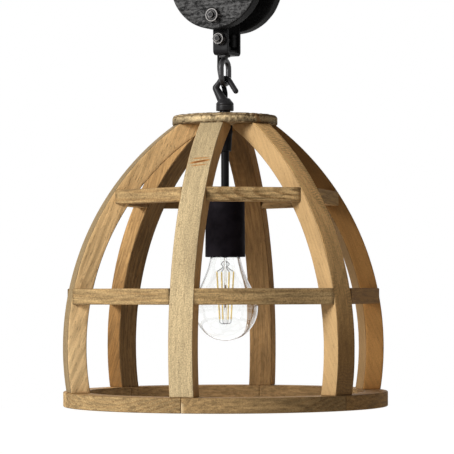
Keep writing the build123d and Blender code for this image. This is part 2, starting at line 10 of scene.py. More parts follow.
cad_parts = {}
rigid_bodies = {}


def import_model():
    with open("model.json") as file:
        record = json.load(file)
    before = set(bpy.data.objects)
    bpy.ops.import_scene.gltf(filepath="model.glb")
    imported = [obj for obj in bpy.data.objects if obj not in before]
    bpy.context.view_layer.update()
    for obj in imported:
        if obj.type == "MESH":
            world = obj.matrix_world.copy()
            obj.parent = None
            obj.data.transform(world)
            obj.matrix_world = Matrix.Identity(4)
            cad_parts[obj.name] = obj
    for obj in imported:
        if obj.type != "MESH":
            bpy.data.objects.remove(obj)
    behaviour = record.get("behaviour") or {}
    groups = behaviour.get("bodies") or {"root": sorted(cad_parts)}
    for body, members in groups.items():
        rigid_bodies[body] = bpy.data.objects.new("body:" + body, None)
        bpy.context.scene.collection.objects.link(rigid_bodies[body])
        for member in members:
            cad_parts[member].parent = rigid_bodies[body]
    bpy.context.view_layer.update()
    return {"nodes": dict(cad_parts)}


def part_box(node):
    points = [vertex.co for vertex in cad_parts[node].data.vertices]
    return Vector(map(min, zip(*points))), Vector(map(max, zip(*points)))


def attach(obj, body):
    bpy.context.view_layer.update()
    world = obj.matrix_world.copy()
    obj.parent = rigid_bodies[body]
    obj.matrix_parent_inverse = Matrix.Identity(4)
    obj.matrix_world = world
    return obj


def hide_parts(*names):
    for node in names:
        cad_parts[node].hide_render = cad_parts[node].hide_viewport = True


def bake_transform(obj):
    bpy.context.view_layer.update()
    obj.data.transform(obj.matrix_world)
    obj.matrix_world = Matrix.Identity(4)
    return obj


bl_info = {
    "name": "Wooden pendant light",
    "version": (1, 0, 0),
    "blender": (4, 5, 0),
    "location": "View3D > Sidebar > Pendant",
    "description": "Sawn wood, black steel, a glass bulb and a plain studio for the packed pendant light",
    "category": "Add Mesh",
}

for left_over in list(bpy.data.objects):
    bpy.data.objects.remove(left_over)
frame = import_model()


# Measures taken from the frame

def middle(node):
    """Middle of a node's box."""
    low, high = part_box(node)
    return (low + high) / 2


def node_points(node):
    """All points of a node's mesh as one array."""
    mesh = frame["nodes"][node].data
    flat = np.empty(3 * len(mesh.vertices))
    mesh.vertices.foreach_get("co", flat)
    return flat.reshape(-1, 3)


SHADE_AXIS = np.array(middle("top_disc"))
AXIS_FOOT = SHADE_AXIS * (1, 1, 0)
RING_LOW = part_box("ring_segment_1")[0].z
RING_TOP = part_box("ring_segment_1")[1].z
DISC_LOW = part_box("top_disc")[0].z
DISC_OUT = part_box("top_disc")[1].x - SHADE_AXIS[0]
RING_OUT = np.hypot(*(node_points("ring_segment_1") - SHADE_AXIS)[:, :2].T).max()
AXLE_Z = middle("axle_bolt").z

# Ribs stand evenly round the axis and are counted from the front, whose angle from X is in degrees
RIBS = 6
RIB_NUMBERS = range(1, RIBS + 1)
RIB_ANGLE = 360.0 / RIBS
FRONT = -90.0


def around_axis(node, wood, number, between=False):
    """A shade node's points as distance out, sideways and up, with its unit vectors out and sideways.

    Rib number n stands at the shade's turn and n - 1 steps of 60 degrees from the front. A piece between two
    ribs stands half a step later.
    """
    angle = wood.turn + math.radians(RIB_ANGLE * (number - 1 + between / 2) + FRONT)
    out = np.array([math.cos(angle), math.sin(angle), 0.0])
    side = np.array([-out[1], out[0], 0.0])
    points = node_points(node)
    local = points - SHADE_AXIS
    return local @ out, local @ side, points[:, 2], out, side


def on_shade(reach, sideways, height, out, side):
    """Points from their distances out and sideways of the shade's axis and their heights."""
    points = AXIS_FOOT + reach[:, None] * out + sideways[:, None] * side
    points[:, 2] += height
    return points


# Settings

def size(name, description, default):
    """Setting for a length in metres."""
    return bpy.props.FloatProperty(name=name, description=description, default=default, unit="LENGTH",
                                   precision=4)


def amount(name, description, default):
    """Setting for a plain number."""
    return bpy.props.FloatProperty(name=name, description=description, default=default, min=0.0)


def turn(name, description, default):
    """Setting for an angle, given in degrees."""
    return bpy.props.FloatProperty(name=name, description=description, default=math.radians(default),
                                   subtype="ANGLE", unit="ROTATION")


def colour(name, description, default):
    """Setting for a colour."""
    return bpy.props.FloatVectorProperty(name=name, description=description, default=default, subtype="COLOR",
                                         size=3, min=0.0, max=1.0)


class PendantWoodSettings(bpy.types.PropertyGroup):
    """Sizes and colours of the sawn wood."""
    turn: turn("Turn", "Turn of the first rib from the front", 11.0)
    rib_arc: size("Rib arc", "Radius of a rib's outer arc", 0.2534)
    foot_setback: size("Foot setback", "Ring's edge to the outside of a rib's foot", 0.0023)
    head_setback: size("Head setback", "Disc's edge to the outside of a rib's head", 0.0024)
    rib_width: size("Rib width", "Width of a rib across its face", 0.0222)
    rib_depth: size("Rib depth", "Depth of a rib from its outer to its inner arc", 0.0178)
    rib_heel: size("Rib heel", "Distance from the axis at which the inside of a rib's head is cut off", 0.021)
    edge: size("Edge rounding", "Radius of the sawn edges", 0.0007)
    chips: size("Chips", "Depth of the dents along the edges", 0.0007)
    ring_width: size("Growth ring", "Width of a growth ring", 0.0034)
    outer: colour("Outer faces", "Weathered outer faces", (0.45, 0.312, 0.148))
    pale: colour("Pale faces", "Outer faces of the palest ribs", (0.61, 0.47, 0.265))
    # Sides lighter and inner faces darker than the outer faces: partly the wood's own tone, partly painted
    # light on the sides and painted shade inside the cage
    sides: colour("Sawn sides", "Sides of the ribs", (0.53, 0.335, 0.145))
    inner: colour("Inner faces", "Faces towards the lamp", (0.28, 0.175, 0.078))
    lines: colour("Growth lines", "Dark lines of the late wood", (0.21, 0.115, 0.042))
    ruddy: colour("Ruddy tint", "Tint that reddens some pieces", (1.0, 0.76, 0.5))
    fresh: colour("Fresh wood", "Pale wood in the chips along the edges", (0.72, 0.55, 0.32))
    pores: colour("Pores", "Dark pores of the wood", (0.10, 0.055, 0.025))
    saw_lines: colour("Saw marks", "Dirt in the saw marks", (0.11, 0.07, 0.035))
    resin: colour("Resin", "Edge of a resin streak", (0.42, 0.19, 0.055))
    resin_heart: colour("Resin's heart", "Middle of a resin streak", (0.12, 0.035, 0.012))
    # Dark lines along the wood's edges: partly rubbed dirt, partly a painted shade line
    rubbed: colour("Rubbed edges", "Dark edges between the chips", (0.09, 0.05, 0.02))


class PendantMetalSettings(bpy.types.PropertyGroup):
    """Sizes and colours of the block, the hook and the fasteners."""
    eye_wire: size("Eye's wire", "Radius of the eye's bar", 0.0026)
    hook_wire: size("Hook's wire", "Radius of the hook's bow", 0.0024)
    bolt: size("Bolt radius", "Radius of the cross bolts", 0.003)
    axle: size("Axle radius", "Radius of the axle bolt", 0.005)
    strap_thickness: size("Strap thickness", "Thickness of the strap", 0.003)
    strap_bend: size("Strap bend", "Outer radius of the strap's bends", 0.0045)
    cheek_ring: size("Cheek's growth ring", "Width of a growth ring in the cheeks", 0.0036)
    paint: colour("Paint", "Black paint on the wooden cheeks", (0.004, 0.004, 0.004))
    paint_worn: colour("Thin paint", "Grey grain where the paint is thin", (0.108, 0.107, 0.106))
    bare: colour("Bare edges", "Edges of the cheeks where the paint is gone", (0.10, 0.095, 0.09))
    steel: colour("Black steel", "Blackened steel", (0.0065, 0.006, 0.0065))
    steel_worn: colour("Rubbed steel", "Edges rubbed bright", (0.13, 0.125, 0.12))


class PendantLampSettings(bpy.types.PropertyGroup):
    """Sizes and colours of the lamp holder, the lead and the bulb."""
    lead: size("Lead radius", "Radius of the supply lead", 0.0023)
    glass: size("Glass radius", "Largest radius of the bulb", 0.0303)
    glass_wall: size("Glass wall", "Thickness of the bulb's glass", 0.0006)
    filament: size("Filament radius", "Radius of a filament", 0.0007)
    wire: size("Wire radius", "Radius of the wires that hold the filaments", 0.00032)
    rod: size("Rod radius", "Radius of the glass rod between the filaments", 0.0011)
    glow: colour("Filaments", "Yellow coat of the filaments", (0.60, 0.43, 0.13))
    plastic: colour("Plastic", "Black plastic of the lead and the terminal", (0.0035, 0.0034, 0.0035))
    clear: colour("Clear glass", "Glass seen straight through", (0.985, 0.99, 0.985))
    # Colour of the painted dark outline where the glass is seen along its wall
    glass_edge: colour("Glass edge", "Glass seen along its wall", (0.45, 0.46, 0.47))


class PendantStageSettings(bpy.types.PropertyGroup):
    """Camera and studio."""
    distance: size("Distance", "Distance of the camera from the shade's axis", 2.153)
    eye_level: size("Eye level", "Height of the camera", -0.3715)
    azimuth: turn("Azimuth", "Turn of the camera round the shade, from the front", 26.0)
    lens: amount("Lens", "Focal length in millimetres", 184.1)
    right: amount("Aim right", "Aim to the right of the axis, as a slope", 0.00078)
    up: amount("Aim up", "Aim above the eye level, as a slope", 0.02812)
    roll: turn("Roll", "Turn of the camera about its view", -0.14)
    key: amount("Key light", "Power of the large lamp at the left, in watts", 70.0)
    fill: amount("Fill light", "Power of the weak lamp at the right, in watts", 0.9)
    top: amount("Top light", "Power of the soft lamp above, in watts", 5.0)
    back: amount("Back light", "Power of the lamp behind, in watts", 22.0)
    ambient: amount("Ambient", "Strength of the light from all around", 0.11)
    floor_drop: size("Floor", "Drop from the ring to the floor", 0.45)


SETTINGS = {"pendant_wood": PendantWoodSettings, "pendant_metal": PendantMetalSettings,
            "pendant_lamp": PendantLampSettings, "pendant_stage": PendantStageSettings}


# Surfaces

def grid_faces(rows, columns, wrap_rows=False, wrap_columns=False):
    """Quads between neighbouring points of a grid that is counted row by row."""
    row = np.arange(rows if wrap_rows else rows - 1)[:, None]
    column = np.arange(columns if wrap_columns else columns - 1)[None, :]
    here, below = row * columns, (row + 1) % rows * columns
    right = (column + 1) % columns
    return np.stack([here + column, here + right, below + right, below + column], axis=-1).reshape(-1, 4)


def join(*surfaces):
    """Several surfaces as one, each with its points, quads and edge marks."""
    starts = np.cumsum([0] + [len(points) for points, _, _ in surfaces[:-1]])
    return (np.concatenate([points for points, _, _ in surfaces]),
            np.concatenate([quads + start for (_, quads, _), start in zip(surfaces, starts)]),
            np.concatenate([edge for _, _, edge in surfaces]))


def moved(surface, by):
    """The surface with the same step added to every point."""
    return surface[0] + np.asarray(by), surface[1], surface[2]


def laid_along_y(surface):
    """A surface turned about Z laid along Y: height becomes Y, and Y becomes height."""
    return surface[0][:, [0, 2, 1]], surface[1], surface[2]


# A corner's rounding takes at most this share of its shorter side
ROUNDED_SHARE = 0.49


def rounded(corners, radius, closed=False, steps=5):
    """Outline with rounded corners, and a mark from 0 to 1 on the roundings.

    A corner c between the points a and b, which lie the radius away on its two sides, becomes the curve
    (1 - t)^2 a + 2 t (1 - t) c + t^2 b. The radius is at most 0.49 of the shorter side.
    """
    corners = np.asarray(corners, dtype=float)
    before = np.roll(corners, 1, axis=0) - corners
    after = np.roll(corners, -1, axis=0) - corners
    long_before = np.linalg.norm(before, axis=1, keepdims=True)
    long_after = np.linalg.norm(after, axis=1, keepdims=True)
    reach = np.broadcast_to(np.asarray(radius, dtype=float).reshape(-1, 1), (len(corners), 1))
    reach = np.minimum(reach, ROUNDED_SHARE * np.minimum(long_before, long_after))
    if not closed:
        reach = reach.copy()
        reach[[0, -1]] = 0.0
    first = (corners + before / np.maximum(long_before, 1e-12) * reach)[:, None, :]
    last = (corners + after / np.maximum(long_after, 1e-12) * reach)[:, None, :]
    t = np.linspace(0.0, 1.0, steps + 1)[None, :, None]
    curve = (1 - t) ** 2 * first + 2 * t * (1 - t) * corners[:, None, :] + t ** 2 * last
    mark = np.where(reach[:, :, None] > 0, 4 * t * (1 - t), 0.0)[:, :, 0]
    points, marks = curve.reshape(-1, corners.shape[1]), mark.reshape(-1)
    keep = np.ones(len(points), dtype=bool)
    keep[1:] = np.linalg.norm(np.diff(points, axis=0), axis=1) > 1e-9
    return points[keep], marks[keep]


def resampled(path, step, marks=None):
    """The same line with points no further apart than the step, by interpolation along its length."""
    lengths = np.linalg.norm(np.diff(path, axis=0), axis=1)
    pieces = np.maximum(np.ceil(lengths / step).astype(int), 1)
    side = np.repeat(np.arange(len(pieces)), pieces)
    share = np.arange(pieces.sum()) - np.repeat(np.cumsum(pieces) - pieces, pieces)
    index = np.append(side + share / np.repeat(pieces, pieces), len(path) - 1)
    count = np.arange(len(path))
    columns = [np.interp(index, count, column) for column in path.T]
    return np.stack(columns, axis=1), None if marks is None else np.interp(index, count, marks)


def lengths_along(path):
    """Distance of each point of a line from its start, along the line."""
    return np.append(0.0, np.cumsum(np.linalg.norm(np.diff(path, axis=0), axis=1)))


def hexagon(flats):
    """Distance of a hexagon's side at an angle: flats / 2 / cos(angle to the side's middle)."""
    def limit(angles):
        return flats / 2 / np.cos(np.mod(angles, math.pi / 3) - math.pi / 6)
    return limit


def by_place(place, levels):
    """A value that changes with a place, between the places and values of a table."""
    return np.interp(place, list(levels), list(levels.values()))


# How much further out a hexagon's corner lies than the middle of its side
HEXAGON_POINT = 0.1547


def turned(corners, radius=0.0, closed=False, limit=None, thread=None, steps=72, step=None):
    """Surface turned about Z: an outline point (r, h) at the angle a goes to (r cos a, r sin a, h).

    The outline's corners are rounded. A limit keeps r inside a hexagon. A thread has a pitch, a depth, a low
    and a high end and an inner radius. It takes depth times a triangle wave of h / pitch - a / 2 pi from r,
    between its ends and outside its inner radius.
    """
    outline, marks = rounded(corners, radius, closed)
    if step:
        outline, marks = resampled(outline, step, marks)
    angles = np.linspace(0.0, 2 * math.pi, steps, endpoint=False)[None, :]
    r, h = outline[:, :1] + 0 * angles, outline[:, 1:] + 0 * angles
    edge = marks[:, None] + 0 * angles
    if limit:
        reach = limit(angles)
        corner = np.clip((reach / reach.min() - 1.0) / HEXAGON_POINT, 0.0, 1.0) ** 6
        edge = np.maximum(edge, np.where(r >= reach, corner, 0.0))
        r = np.minimum(r, reach)
    if thread:
        pitch, depth, low, high, inner = thread
        wave = np.abs(np.mod(h / pitch - angles / (2 * math.pi), 1.0) * 2 - 1)
        fade = np.clip((h - low) / pitch, 0.0, 1.0) * np.clip((high - h) / pitch, 0.0, 1.0)
        r = r - depth * wave * fade * (r > inner)
    points = np.stack([r * np.cos(angles), r * np.sin(angles), h], axis=-1).reshape(-1, 3)
    return points, grid_faces(len(outline), steps, wrap_rows=closed, wrap_columns=True), edge.reshape(-1)


def tube(path, radius, side, closed=False, steps=20):
    """Round bar along a path: the point p carries the circle p + radius (cos a n + sin a b).

    n is the side vector made square to the path, and b is square to both. A radius of 0 at an end closes it.
    """
    path = np.asarray(path, dtype=float)
    if closed:
        along = np.roll(path, -1, axis=0) - np.roll(path, 1, axis=0)
    else:
        along = np.gradient(path, axis=0)
    along /= np.linalg.norm(along, axis=1, keepdims=True)
    n = np.asarray(side, dtype=float) - along * (along @ np.asarray(side, dtype=float))[:, None]
    n /= np.linalg.norm(n, axis=1, keepdims=True)
    b = np.cross(along, n)
    angles = np.linspace(0.0, 2 * math.pi, steps, endpoint=False)
    ring = np.cos(angles)[None, :, None] * n[:, None, :] + np.sin(angles)[None, :, None] * b[:, None, :]
    radius = np.broadcast_to(np.asarray(radius, dtype=float), (len(path),))
    points = (path[:, None, :] + radius[:, None, None] * ring).reshape(-1, 3)
    return points, grid_faces(len(path), steps, wrap_rows=closed, wrap_columns=True), np.zeros(len(points))


def round_ended(path, radius, steps=5):
    """A path and its radii with a half ball at each end: r sin a further out, the radius is r cos a."""
    path = np.asarray(path, dtype=float)
    radius = np.broadcast_to(np.asarray(radius, dtype=float), (len(path),))
    angles = np.linspace(0.0, math.pi / 2, steps + 1)[1:]
    head = path[0] - path[1]
    tail = path[-1] - path[-2]
    head = path[0] + head / np.linalg.norm(head) * radius[0] * np.sin(angles[::-1])[:, None]
    tail = path[-1] + tail / np.linalg.norm(tail) * radius[-1] * np.sin(angles)[:, None]
    radii = np.concatenate([radius[0] * np.cos(angles[::-1]), radius, radius[-1] * np.cos(angles)])
    return np.concatenate([head, path, tail]), np.maximum(radii, 0.0)


# How far a rounded edge's normal leans from its face where the edge mark is full
EDGE_LEAN = 0.29


def plank(sides, radius, step):
    """Box with rounded edges as points, quads, outward normals and edge marks.

    A point p of the plain box is held to the box made smaller by the radius, which gives q. The surface is
    q + radius n, where n is the unit vector along p - q. The grid's lines lie at q + radius tan(a) beyond q's
    limit, for a up to 45 degrees, so that a rounding gets even steps.
    """
    half = np.asarray(sides) / 2
    inner = half - radius
    over = radius * np.tan(np.radians([15.0, 30.0, 45.0]))
    marks = []
    for reach, span in zip(inner, step if np.ndim(step) else (step,) * 3):
        flat = np.linspace(-reach, reach, max(int(math.ceil(2 * reach / span)), 1) + 1)
        marks.append(np.concatenate([-(reach + over)[::-1], flat, reach + over]))
    points, quads, count = [], [], 0
    for axis in range(3):
        across, up = (axis + 1) % 3, (axis + 2) % 3
        for sign in (1.0, -1.0):
            face = np.empty((len(marks[across]), len(marks[up]), 3))
            face[..., axis] = sign * half[axis]
            face[..., across] = marks[across][:, None]
            face[..., up] = marks[up][None, :]
            quad = grid_faces(*face.shape[:2]) + count
            points.append(face.reshape(-1, 3))
            quads.append(quad if sign < 0 else quad[:, ::-1])
            count += len(points[-1])
    points, quads = np.concatenate(points), np.concatenate(quads)
    core = np.clip(points, -inner, inner)
    normals = points - core
    normals /= np.linalg.norm(normals, axis=1, keepdims=True)
    edge = np.clip((1 - np.abs(normals).max(axis=1)) / EDGE_LEAN, 0.0, 1.0)
    return core + radius * normals, quads, normals, edge


WAVES = 9


def ripple(points, length, seed):
    """Smooth random field from about -1 to 1.

    It is twice the mean of nine sine waves of about the given length, each going its own way.
    """
    chance = np.random.default_rng(seed)
    ways = chance.normal(size=(3, WAVES))
    ways *= chance.uniform(0.6, 1.6, WAVES) / np.linalg.norm(ways, axis=0) * 2 * math.pi / length
    return np.sin(points @ ways + chance.uniform(0.0, 2 * math.pi, WAVES)).mean(axis=1) * 2


# Length of the dents along an edge, and of the small ones among them
DENT, SMALL_DENT = 0.021, 0.007


def worn(points, normals, edge, depth, seed):
    """Plank with chipped edges: a point sinks along its normal by depth times its edge mark times ripples."""
    dents = np.clip(ripple(points, DENT, seed) + 0.7 * ripple(points, SMALL_DENT, seed + 50), 0.0, 1.4)
    return points - normals * (depth * edge * (0.2 + dents))[:, None]


# Points of a piece nearer than this become one
SAME_PLACE = 1e-5


def add_piece(name, surface, body, finish, replaced=(), marks=None, smooth=38.0, look=None):
    """Puts a surface into the scene as a piece on a body, in place of its CAD nodes.

    Points that meet within a hundredth of a millimetre become one, and quads that shrink to a line go. A
    surface whose signed volume, the sum of a . (b x c) / 6 over its triangles, is negative is turned round.
    """
    points, quads, edge = surface
    _, first, back = np.unique(np.round(points / SAME_PLACE).astype(np.int64), axis=0, return_index=True,
                               return_inverse=True)
    quads = back.reshape(-1)[quads]
    points = points[first]
    same = quads == np.roll(quads, 1, axis=1)
    whole, cut = same.sum(axis=1) == 0, same.sum(axis=1) == 1
    triangles = quads[cut][~same[cut]].reshape(-1, 3)
    quads = quads[whole]
    corners = np.concatenate([quads[:, [0, 1, 2]], quads[:, [0, 2, 3]], triangles])
    a, b, c = points[corners[:, 0]], points[corners[:, 1]], points[corners[:, 2]]
    if np.einsum("ij,ij->", a, np.cross(b, c)) < 0:
        quads, triangles = quads[:, ::-1], triangles[:, ::-1]
    mesh = bpy.data.meshes.new(name)
    mesh.from_pydata(points.tolist(), [], quads.tolist() + triangles.tolist())
    for label, values in {"edge": edge, **(marks or {})}.items():
        values = np.asarray(values, dtype=np.float32)[first]
        kind = "FLOAT_VECTOR" if values.ndim == 2 else "FLOAT"
        layer = mesh.attributes.new(label, kind, "POINT")
        layer.data.foreach_set("vector" if values.ndim == 2 else "value", values.reshape(-1))
    mesh.shade_smooth()
    mesh.set_sharp_from_angle(angle=math.radians(smooth))
    mesh.materials.append(finish_for(look or finish))
    piece = bpy.data.objects.new(name, mesh)
    bpy.context.scene.collection.objects.link(piece)
    if body:
        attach(piece, body)
    if replaced:
        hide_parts(*replaced)
    return piece


# Materials

def set_inputs(tree, node, inputs):
    """Links the sockets that are given to a node's inputs, and sets the plain values."""
    for key, value in inputs.items():
        if isinstance(value, bpy.types.NodeSocket):
            tree.links.new(value, node.inputs[key])
        else:
            node.inputs[key].default_value = value


def add_node(tree, kind, inputs=None, **settings):
    """Adds a node with its settings and inputs."""
    node = tree.nodes.new("ShaderNode" + kind)
    for key, value in settings.items():
        setattr(node, key, value)
    set_inputs(tree, node, inputs or {})
    return node


def work(tree, operation, *values, clamp=False):
    """Result of one Math node."""
    return add_node(tree, "Math", dict(enumerate(values)), operation=operation, use_clamp=clamp).outputs[0]


def stretch(tree, vector, scale):
    """A vector multiplied by a scale along each axis."""
    return add_node(tree, "VectorMath", {0: vector, 1: scale}, operation="MULTIPLY").outputs[0]


def noise(tree, vector, scale=1.0, detail=2.0, rough=0.5):
    """Value of a noise texture."""
    return add_node(tree, "TexNoise", {"Vector": vector, "Scale": scale, "Detail": detail,
                                       "Roughness": rough}).outputs["Fac"]


def spread(tree, value, low, high, to_low=0.0, to_high=1.0):
    """Smooth change from one value to another as the input goes from low to high."""
    return add_node(tree, "MapRange", {0: value, 1: low, 2: high, 3: to_low, 4: to_high},
                    interpolation_type="SMOOTHSTEP").outputs[0]


def blend_colours(tree, factor, first, second, blend_type="MIX"):
    """Mix of two colours."""
    node = add_node(tree, "Mix", {0: factor, 6: first, 7: second}, data_type="RGBA", blend_type=blend_type)
    return node.outputs[2]


def rgba(values):
    """A colour with full alpha."""
    return (*values, 1.0)


def scaled(values, share):
    """A colour times a share."""
    return tuple(share * value for value in values)


def new_group(name, inputs, outputs):
    """Empty shader node group with its input node's sockets by name and its output node."""
    tree = bpy.data.node_groups.new(name, "ShaderNodeTree")
    for label, kind in inputs.items():
        tree.interface.new_socket(name=label, in_out="INPUT", socket_type="NodeSocket" + kind)
    for label in outputs:
        tree.interface.new_socket(name=label, in_out="OUTPUT", socket_type="NodeSocketFloat")
    entry = tree.nodes.new("NodeGroupInput")
    return tree, entry.outputs, tree.nodes.new("NodeGroupOutput")


def put_out(tree, leave, **values):
    """Links values to a group's outputs of the same names."""
    for label, value in values.items():
        tree.links.new(value, leave.inputs[label.replace("_", " ")])


def sawn_grain():
    """Grain of a straight plank whose length is X: growth rings, fibres, pores, specks and saw marks.

    The ring value comes from the fraction of (distance from the heart's line + a slow warp) / ring width.
    """
    name = "SawnGrain"
    if name in bpy.data.node_groups:
        return bpy.data.node_groups[name]
    inputs = {"Grain": "Vector", "Heart": "Float", "Ring Width": "Float", "Figure": "Float"}
    tree, entry, leave = new_group(name, inputs, ("Rings", "Fibre", "Pores", "Specks", "Saw", "Tone"))
    place = entry["Grain"]
    warp = noise(tree, stretch(tree, place, (5.0, 17.0, 17.0)), detail=3.0)
    split = add_node(tree, "SeparateXYZ", {0: place}).outputs
    out = work(tree, "MULTIPLY_ADD", work(tree, "SUBTRACT", warp, 0.5), entry["Figure"], entry["Heart"])
    share = work(tree, "FRACT", work(tree, "DIVIDE", out, entry["Ring Width"]))
    ramp = add_node(tree, "ValToRGB", {0: share})
    ramp.color_ramp.elements[0].color = (0.1, 0.1, 0.1, 1.0)
    ramp.color_ramp.elements[1].color = (0.1, 0.1, 0.1, 1.0)
    for position, level in ((0.45, 0.25), (0.78, 1.0), (0.9, 0.8)):
        ramp.color_ramp.elements.new(position).color = (level, level, level, 1.0)
    fibre = noise(tree, stretch(tree, place, (28.0, 420.0, 420.0)), detail=4.0, rough=0.65)
    pores = noise(tree, stretch(tree, place, (150.0, 760.0, 760.0)), detail=2.0)
    wobble = work(tree, "MULTIPLY", noise(tree, place, scale=75.0, detail=3.0), 22.0)
    cut = work(tree, "SINE", work(tree, "MULTIPLY_ADD", split[0], 2300.0, wobble))
    patch = spread(tree, noise(tree, stretch(tree, place, (14.0, 60.0, 60.0)), detail=3.0), 0.45, 0.62)
    put_out(tree, leave, Rings=ramp.outputs[0], Fibre=fibre, Pores=spread(tree, pores, 0.6, 0.7),
            Specks=noise(tree, place, scale=860.0, detail=2.0, rough=0.6),
            Saw=work(tree, "MULTIPLY", work(tree, "MULTIPLY_ADD", cut, 0.5, 0.5), patch),
            Tone=noise(tree, stretch(tree, place, (8.0, 26.0, 26.0)), detail=3.0))
    return tree


def edge_wear():
    """Mask of rubbed or chipped edges: the piece's edge mark, broken up by noise."""
    name = "EdgeWear"
    if name in bpy.data.node_groups:
        return bpy.data.node_groups[name]
    inputs = {"Edge": "Float", "Place": "Vector", "Scale": "Float", "Amount": "Float"}
    tree, entry, leave = new_group(name, inputs, ("Mask",))
    rough = noise(tree, entry["Place"], scale=entry["Scale"], detail=4.0, rough=0.6)
    level = work(tree, "ADD", work(tree, "MULTIPLY_ADD", rough, 1.6, entry["Amount"]), -1.3)
    level = spread(tree, work(tree, "ADD", level, entry["Edge"]), 0.35, 0.75)
    put_out(tree, leave, Mask=work(tree, "MULTIPLY", level, entry["Edge"], clamp=True))
    return tree


def patina():
    """Slow cloud and fine specks of an aged metal or plastic surface."""
    name = "Patina"
    if name in bpy.data.node_groups:
        return bpy.data.node_groups[name]
    tree, entry, leave = new_group(name, {"Place": "Vector", "Cloud Scale": "Float", "Speck Scale": "Float"},
                                   ("Cloud", "Specks"))
    put_out(tree, leave, Cloud=noise(tree, entry["Place"], scale=entry["Cloud Scale"], detail=4.0, rough=0.6),
            Specks=noise(tree, entry["Place"], scale=entry["Speck Scale"], detail=2.0))
    return tree


def use_group(tree, group, inputs):
    """Outputs of a node group placed in a material with its own values."""
    return add_node(tree, "Group", inputs, node_tree=group).outputs


def new_finish(name):
    """Material with a Principled BSDF, its tree, that shader and Object coordinates."""
    material = bpy.data.materials.new(name)
    material.use_nodes = True
    tree = material.node_tree
    shader = tree.nodes["Principled BSDF"]
    return material, tree, shader, add_node(tree, "TexCoord").outputs["Object"]


def mark_of(tree, name):
    """One of a piece's own marks."""
    return add_node(tree, "Attribute", attribute_name=name).outputs["Fac"]


def feed(tree, shader, tint, roughness, height, distance, strength):
    """Links a colour, a roughness and a bump height to a shader."""
    bump = add_node(tree, "Bump", {"Height": height, "Distance": distance, "Strength": strength})
    set_inputs(tree, shader, {"Base Color": tint, "Roughness": roughness, "Normal": bump.outputs[0]})


def shade_by(tree, tint, value, low, high):
    """A colour made darker or lighter by a value's way from 0 to 1."""
    light = work(tree, "MULTIPLY_ADD", value, high - low, low)
    light = add_node(tree, "CombineColor", {0: light, 1: light, 2: light}).outputs[0]
    return blend_colours(tree, 1.0, tint, light, "MULTIPLY")


# How far a slow warp moves the growth rings
RING_WARP = 0.012


def wood_tint(tree, wood, face, outside, figure):
    """Plain colour of the wood by its face, paleness, reddening and slow tone, times its light mark, which is
    partly tone and partly painted light and shade.
    """
    pale = mark_of(tree, "pale")
    weathered = blend_colours(tree, pale, rgba(wood.outer), rgba(wood.pale))
    warm = blend_colours(tree, work(tree, "MULTIPLY", pale, 0.5), rgba(wood.sides), rgba(wood.pale))
    # Lighter sides and darker inner faces: partly tone, partly painted light on the sides and painted shade
    # inside the cage
    base = blend_colours(tree, spread(tree, face, 0.05, 0.38), rgba(wood.inner), warm)
    base = blend_colours(tree, outside, base, weathered)
    # The light mark: each piece's own tone together with painted light and shade
    base = shade_by(tree, base, mark_of(tree, "light"), 0.0, 1.0)
    base = blend_colours(tree, mark_of(tree, "warm"), base, rgba(wood.ruddy), "MULTIPLY")
    return shade_by(tree, base, spread(tree, figure["Tone"], 0.3, 0.7), 1.1, 0.88)


def wood_figure(tree, wood, base, outside, figure):
    """Growth lines, fibres, specks and pores over the wood's plain colour, weaker where its grain is calm."""
    calm = mark_of(tree, "calm")
    even = work(tree, "MULTIPLY", calm, work(tree, "MULTIPLY_ADD", outside, 0.5, 0.5))
    line = work(tree, "MULTIPLY", figure["Rings"], spread(tree, figure["Tone"], 0.3, 0.65, 0.16, 0.58))
    line = work(tree, "MULTIPLY", line, work(tree, "MULTIPLY_ADD", even, -0.8, 1.0))
    base = blend_colours(tree, line, base, rgba(wood.lines))
    lively = work(tree, "MULTIPLY_ADD", calm, -0.55, 1.0)
    fibre = work(tree, "SUBTRACT", spread(tree, figure["Fibre"], 0.3, 0.7), 0.5)
    base = shade_by(tree, base, work(tree, "MULTIPLY_ADD", fibre, lively, 0.5), 0.68, 1.32)
    speck = work(tree, "SUBTRACT", spread(tree, figure["Specks"], 0.25, 0.75), 0.5)
    rough = work(tree, "MULTIPLY_ADD", outside, 0.7, 0.3)
    base = shade_by(tree, base, work(tree, "MULTIPLY_ADD", speck, rough, 0.5), 0.7, 1.3)
    pores = work(tree, "MULTIPLY", figure["Pores"], work(tree, "MULTIPLY_ADD", lively, 0.38, 0.14))
    return blend_colours(tree, pores, base, rgba(wood.pores))


def wood_wear(tree, wood, base, saw, place):
    """Dirt in the saw marks, resin, dark edge lines that are partly rubbed dirt and partly painted shade, and
    fresh chips over the wood's colour.
    """
    base = blend_colours(tree, work(tree, "MULTIPLY", saw, 0.3), base, rgba(wood.saw_lines))
    resin = mark_of(tree, "resin")
    base = blend_colours(tree, spread(tree, resin, 0.1, 0.55), base, rgba(wood.resin))
    base = blend_colours(tree, spread(tree, resin, 0.62, 0.95), base, rgba(wood.resin_heart))
    edge = mark_of(tree, "edge")
    # Dark edge line: partly rubbed dirt, partly painted shade along the edges
    rubbed = work(tree, "MULTIPLY", spread(tree, edge, 0.1, 0.7), 0.72)
    base = blend_colours(tree, rubbed, base, rgba(wood.rubbed))
    chips = use_group(tree, edge_wear(), {"Edge": edge, "Place": place, "Scale": 190.0,
                                          "Amount": 0.0})["Mask"]
    chips = work(tree, "MAXIMUM", work(tree, "MULTIPLY", chips, 0.8), mark_of(tree, "fresh"))
    return blend_colours(tree, chips, base, rgba(wood.fresh))


